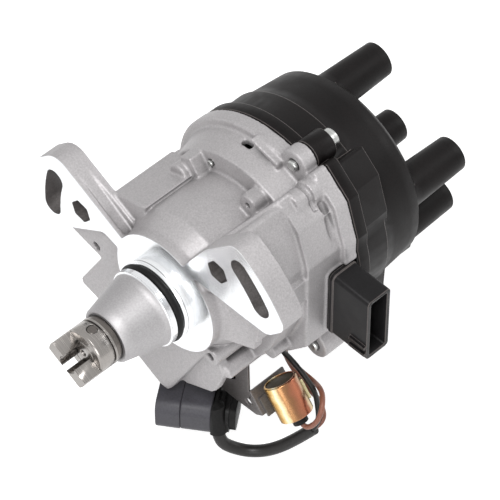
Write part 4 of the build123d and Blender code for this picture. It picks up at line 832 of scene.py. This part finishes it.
class DISTRIBUTOR_OT_inside(bpy.types.Operator):
    """Paints the pieces inside the casting and the cap, and gives the brush's spring a mesh of its own"""

    bl_idname = "distributor.inside"
    bl_label = "Inside"

    def execute(self, context):
        # the spring is a copy with a mesh of its own; the brush pressing it together as it moves up is not
        # drawn
        spring = object_from(merged_form("brush_spring"), "brush_spring_coil")
        shade(spring, angle=60)
        finish_piece(spring, "machined_steel", "housing", "brush_spring")
        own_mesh(spring)
        made = finishes()
        for name, obj in frame["nodes"].items():
            slot = NODE_SLOTS.get(name)
            if slot in made and not obj.hide_render:
                obj.active_material = made[slot]
        return {"FINISHED"}


# The stage

def lay_floor():
    """A pale floor just under the part, white to the camera."""
    form = bmesh.new()
    bmesh.ops.create_grid(form, x_segments=1, y_segments=1, size=FLOOR_HALF)
    bmesh.ops.translate(form, verts=form.verts, vec=(0, 0, CAD_BOX[0][2] - FLOOR_GAP))
    floor = object_from(form, "floor")
    # matt white paper, lifted to the photograph's plain background
    material, tree = new_material("pale_floor")
    lift = add_node(tree, "ShaderNodeMath", {0: seen_directly(tree), 1: FLOOR_LIFT}, operation="MULTIPLY")
    close_material(tree, {
        "Base Color": linear("D8D8D8"), "Roughness": 0.9, "Specular IOR Level": 0.1,
        "Emission Color": WHITE, "Emission Strength": lift.outputs["Value"]})
    floor.data.materials.append(material)


def light_world():
    """A white surround that lights the part softly and is pure white to the camera."""
    world = bpy.data.worlds.new("soft_studio")
    bpy.context.scene.world = world
    world.use_nodes = True
    tree = world.node_tree
    tree.nodes.clear()
    strength = add_node(tree, "ShaderNodeMapRange", {
        "Value": seen_directly(tree), "To Min": SKY_ON_THINGS, "To Max": 1.0})
    light = add_node(tree, "ShaderNodeBackground", {"Color": WHITE, "Strength": strength.outputs["Result"]})
    add_node(tree, "ShaderNodeOutputWorld", {"Surface": light.outputs["Background"]})


def hang_lamps():
    """Round softboxes, each turned to the part."""
    for name, place, size, power in LAMPS:
        lamp = bpy.data.lights.new(name, "AREA")
        lamp.shape = "DISK"
        lamp.size = size
        lamp.energy = power
        holder = bpy.data.objects.new(name, lamp)
        holder.location = place
        aim = Vector(LAMP_AIM) - Vector(place)
        holder.rotation_euler = aim.to_track_quat("-Z", "Y").to_euler()
        bpy.context.scene.collection.objects.link(holder)


def set_camera():
    """The photograph's viewpoint, through a long lens."""
    scene = bpy.context.scene
    eye = bpy.data.cameras.new("camera")
    eye.lens = CAMERA_LENS
    eye.sensor_width = CAMERA_SENSOR
    eye.clip_start = CAMERA_NEAR
    eye.clip_end = CAMERA_FAR
    camera = bpy.data.objects.new("camera", eye)
    right = Vector(CAMERA_RIGHT).normalized()
    back = right.cross(Vector(CAMERA_UP)).normalized()
    up = back.cross(right).normalized()
    turn = Matrix((right, up, back)).transposed().to_4x4()
    camera.matrix_world = Matrix.Translation(CAMERA_PLACE) @ turn
    scene.collection.objects.link(camera)
    scene.camera = camera
    scene.view_settings.view_transform = "Standard"


class DISTRIBUTOR_OT_stage(bpy.types.Operator):
    """Sets the pale floor, the soft light and the camera"""

    bl_idname = "distributor.stage"
    bl_label = "Stage"

    def execute(self, context):
        lay_floor()
        light_world()
        hang_lamps()
        set_camera()
        return {"FINISHED"}


# The add-on

STEPS = (
    DISTRIBUTOR_OT_casting,
    DISTRIBUTOR_OT_cap,
    DISTRIBUTOR_OT_drive,
    DISTRIBUTOR_OT_connector,
    DISTRIBUTOR_OT_condenser,
    DISTRIBUTOR_OT_pigtail,
    DISTRIBUTOR_OT_leads,
    DISTRIBUTOR_OT_inside,
    DISTRIBUTOR_OT_stage,
)


class DISTRIBUTOR_PT_sidebar(bpy.types.Panel):
    """Lists the steps that dress the distributor"""

    bl_idname = "DISTRIBUTOR_PT_sidebar"
    bl_label = "Ignition distributor"
    bl_space_type = "VIEW_3D"
    bl_region_type = "UI"
    bl_category = "Distributor"

    def draw(self, context):
        column = self.layout.column(align=True)
        for name in DistributorLook.__annotations__:
            column.prop(context.scene.distributor_look, name)
        for step in STEPS:
            column.operator(step.bl_idname)


CLASSES = (DistributorLook, *STEPS, DISTRIBUTOR_PT_sidebar)


def register():
    for item in CLASSES:
        bpy.utils.register_class(item)
    bpy.types.Scene.distributor_look = bpy.props.PointerProperty(type=DistributorLook)


def unregister():
    del bpy.types.Scene.distributor_look
    for item in reversed(CLASSES):
        bpy.utils.unregister_class(item)


def main():
    register()
    bpy.ops.distributor.casting()
    bpy.ops.distributor.cap()
    bpy.ops.distributor.drive()
    bpy.ops.distributor.connector()
    bpy.ops.distributor.condenser()
    bpy.ops.distributor.pigtail()
    bpy.ops.distributor.leads()
    bpy.ops.distributor.inside()
    bpy.ops.distributor.stage()


if __name__ == "__main__":
    main()
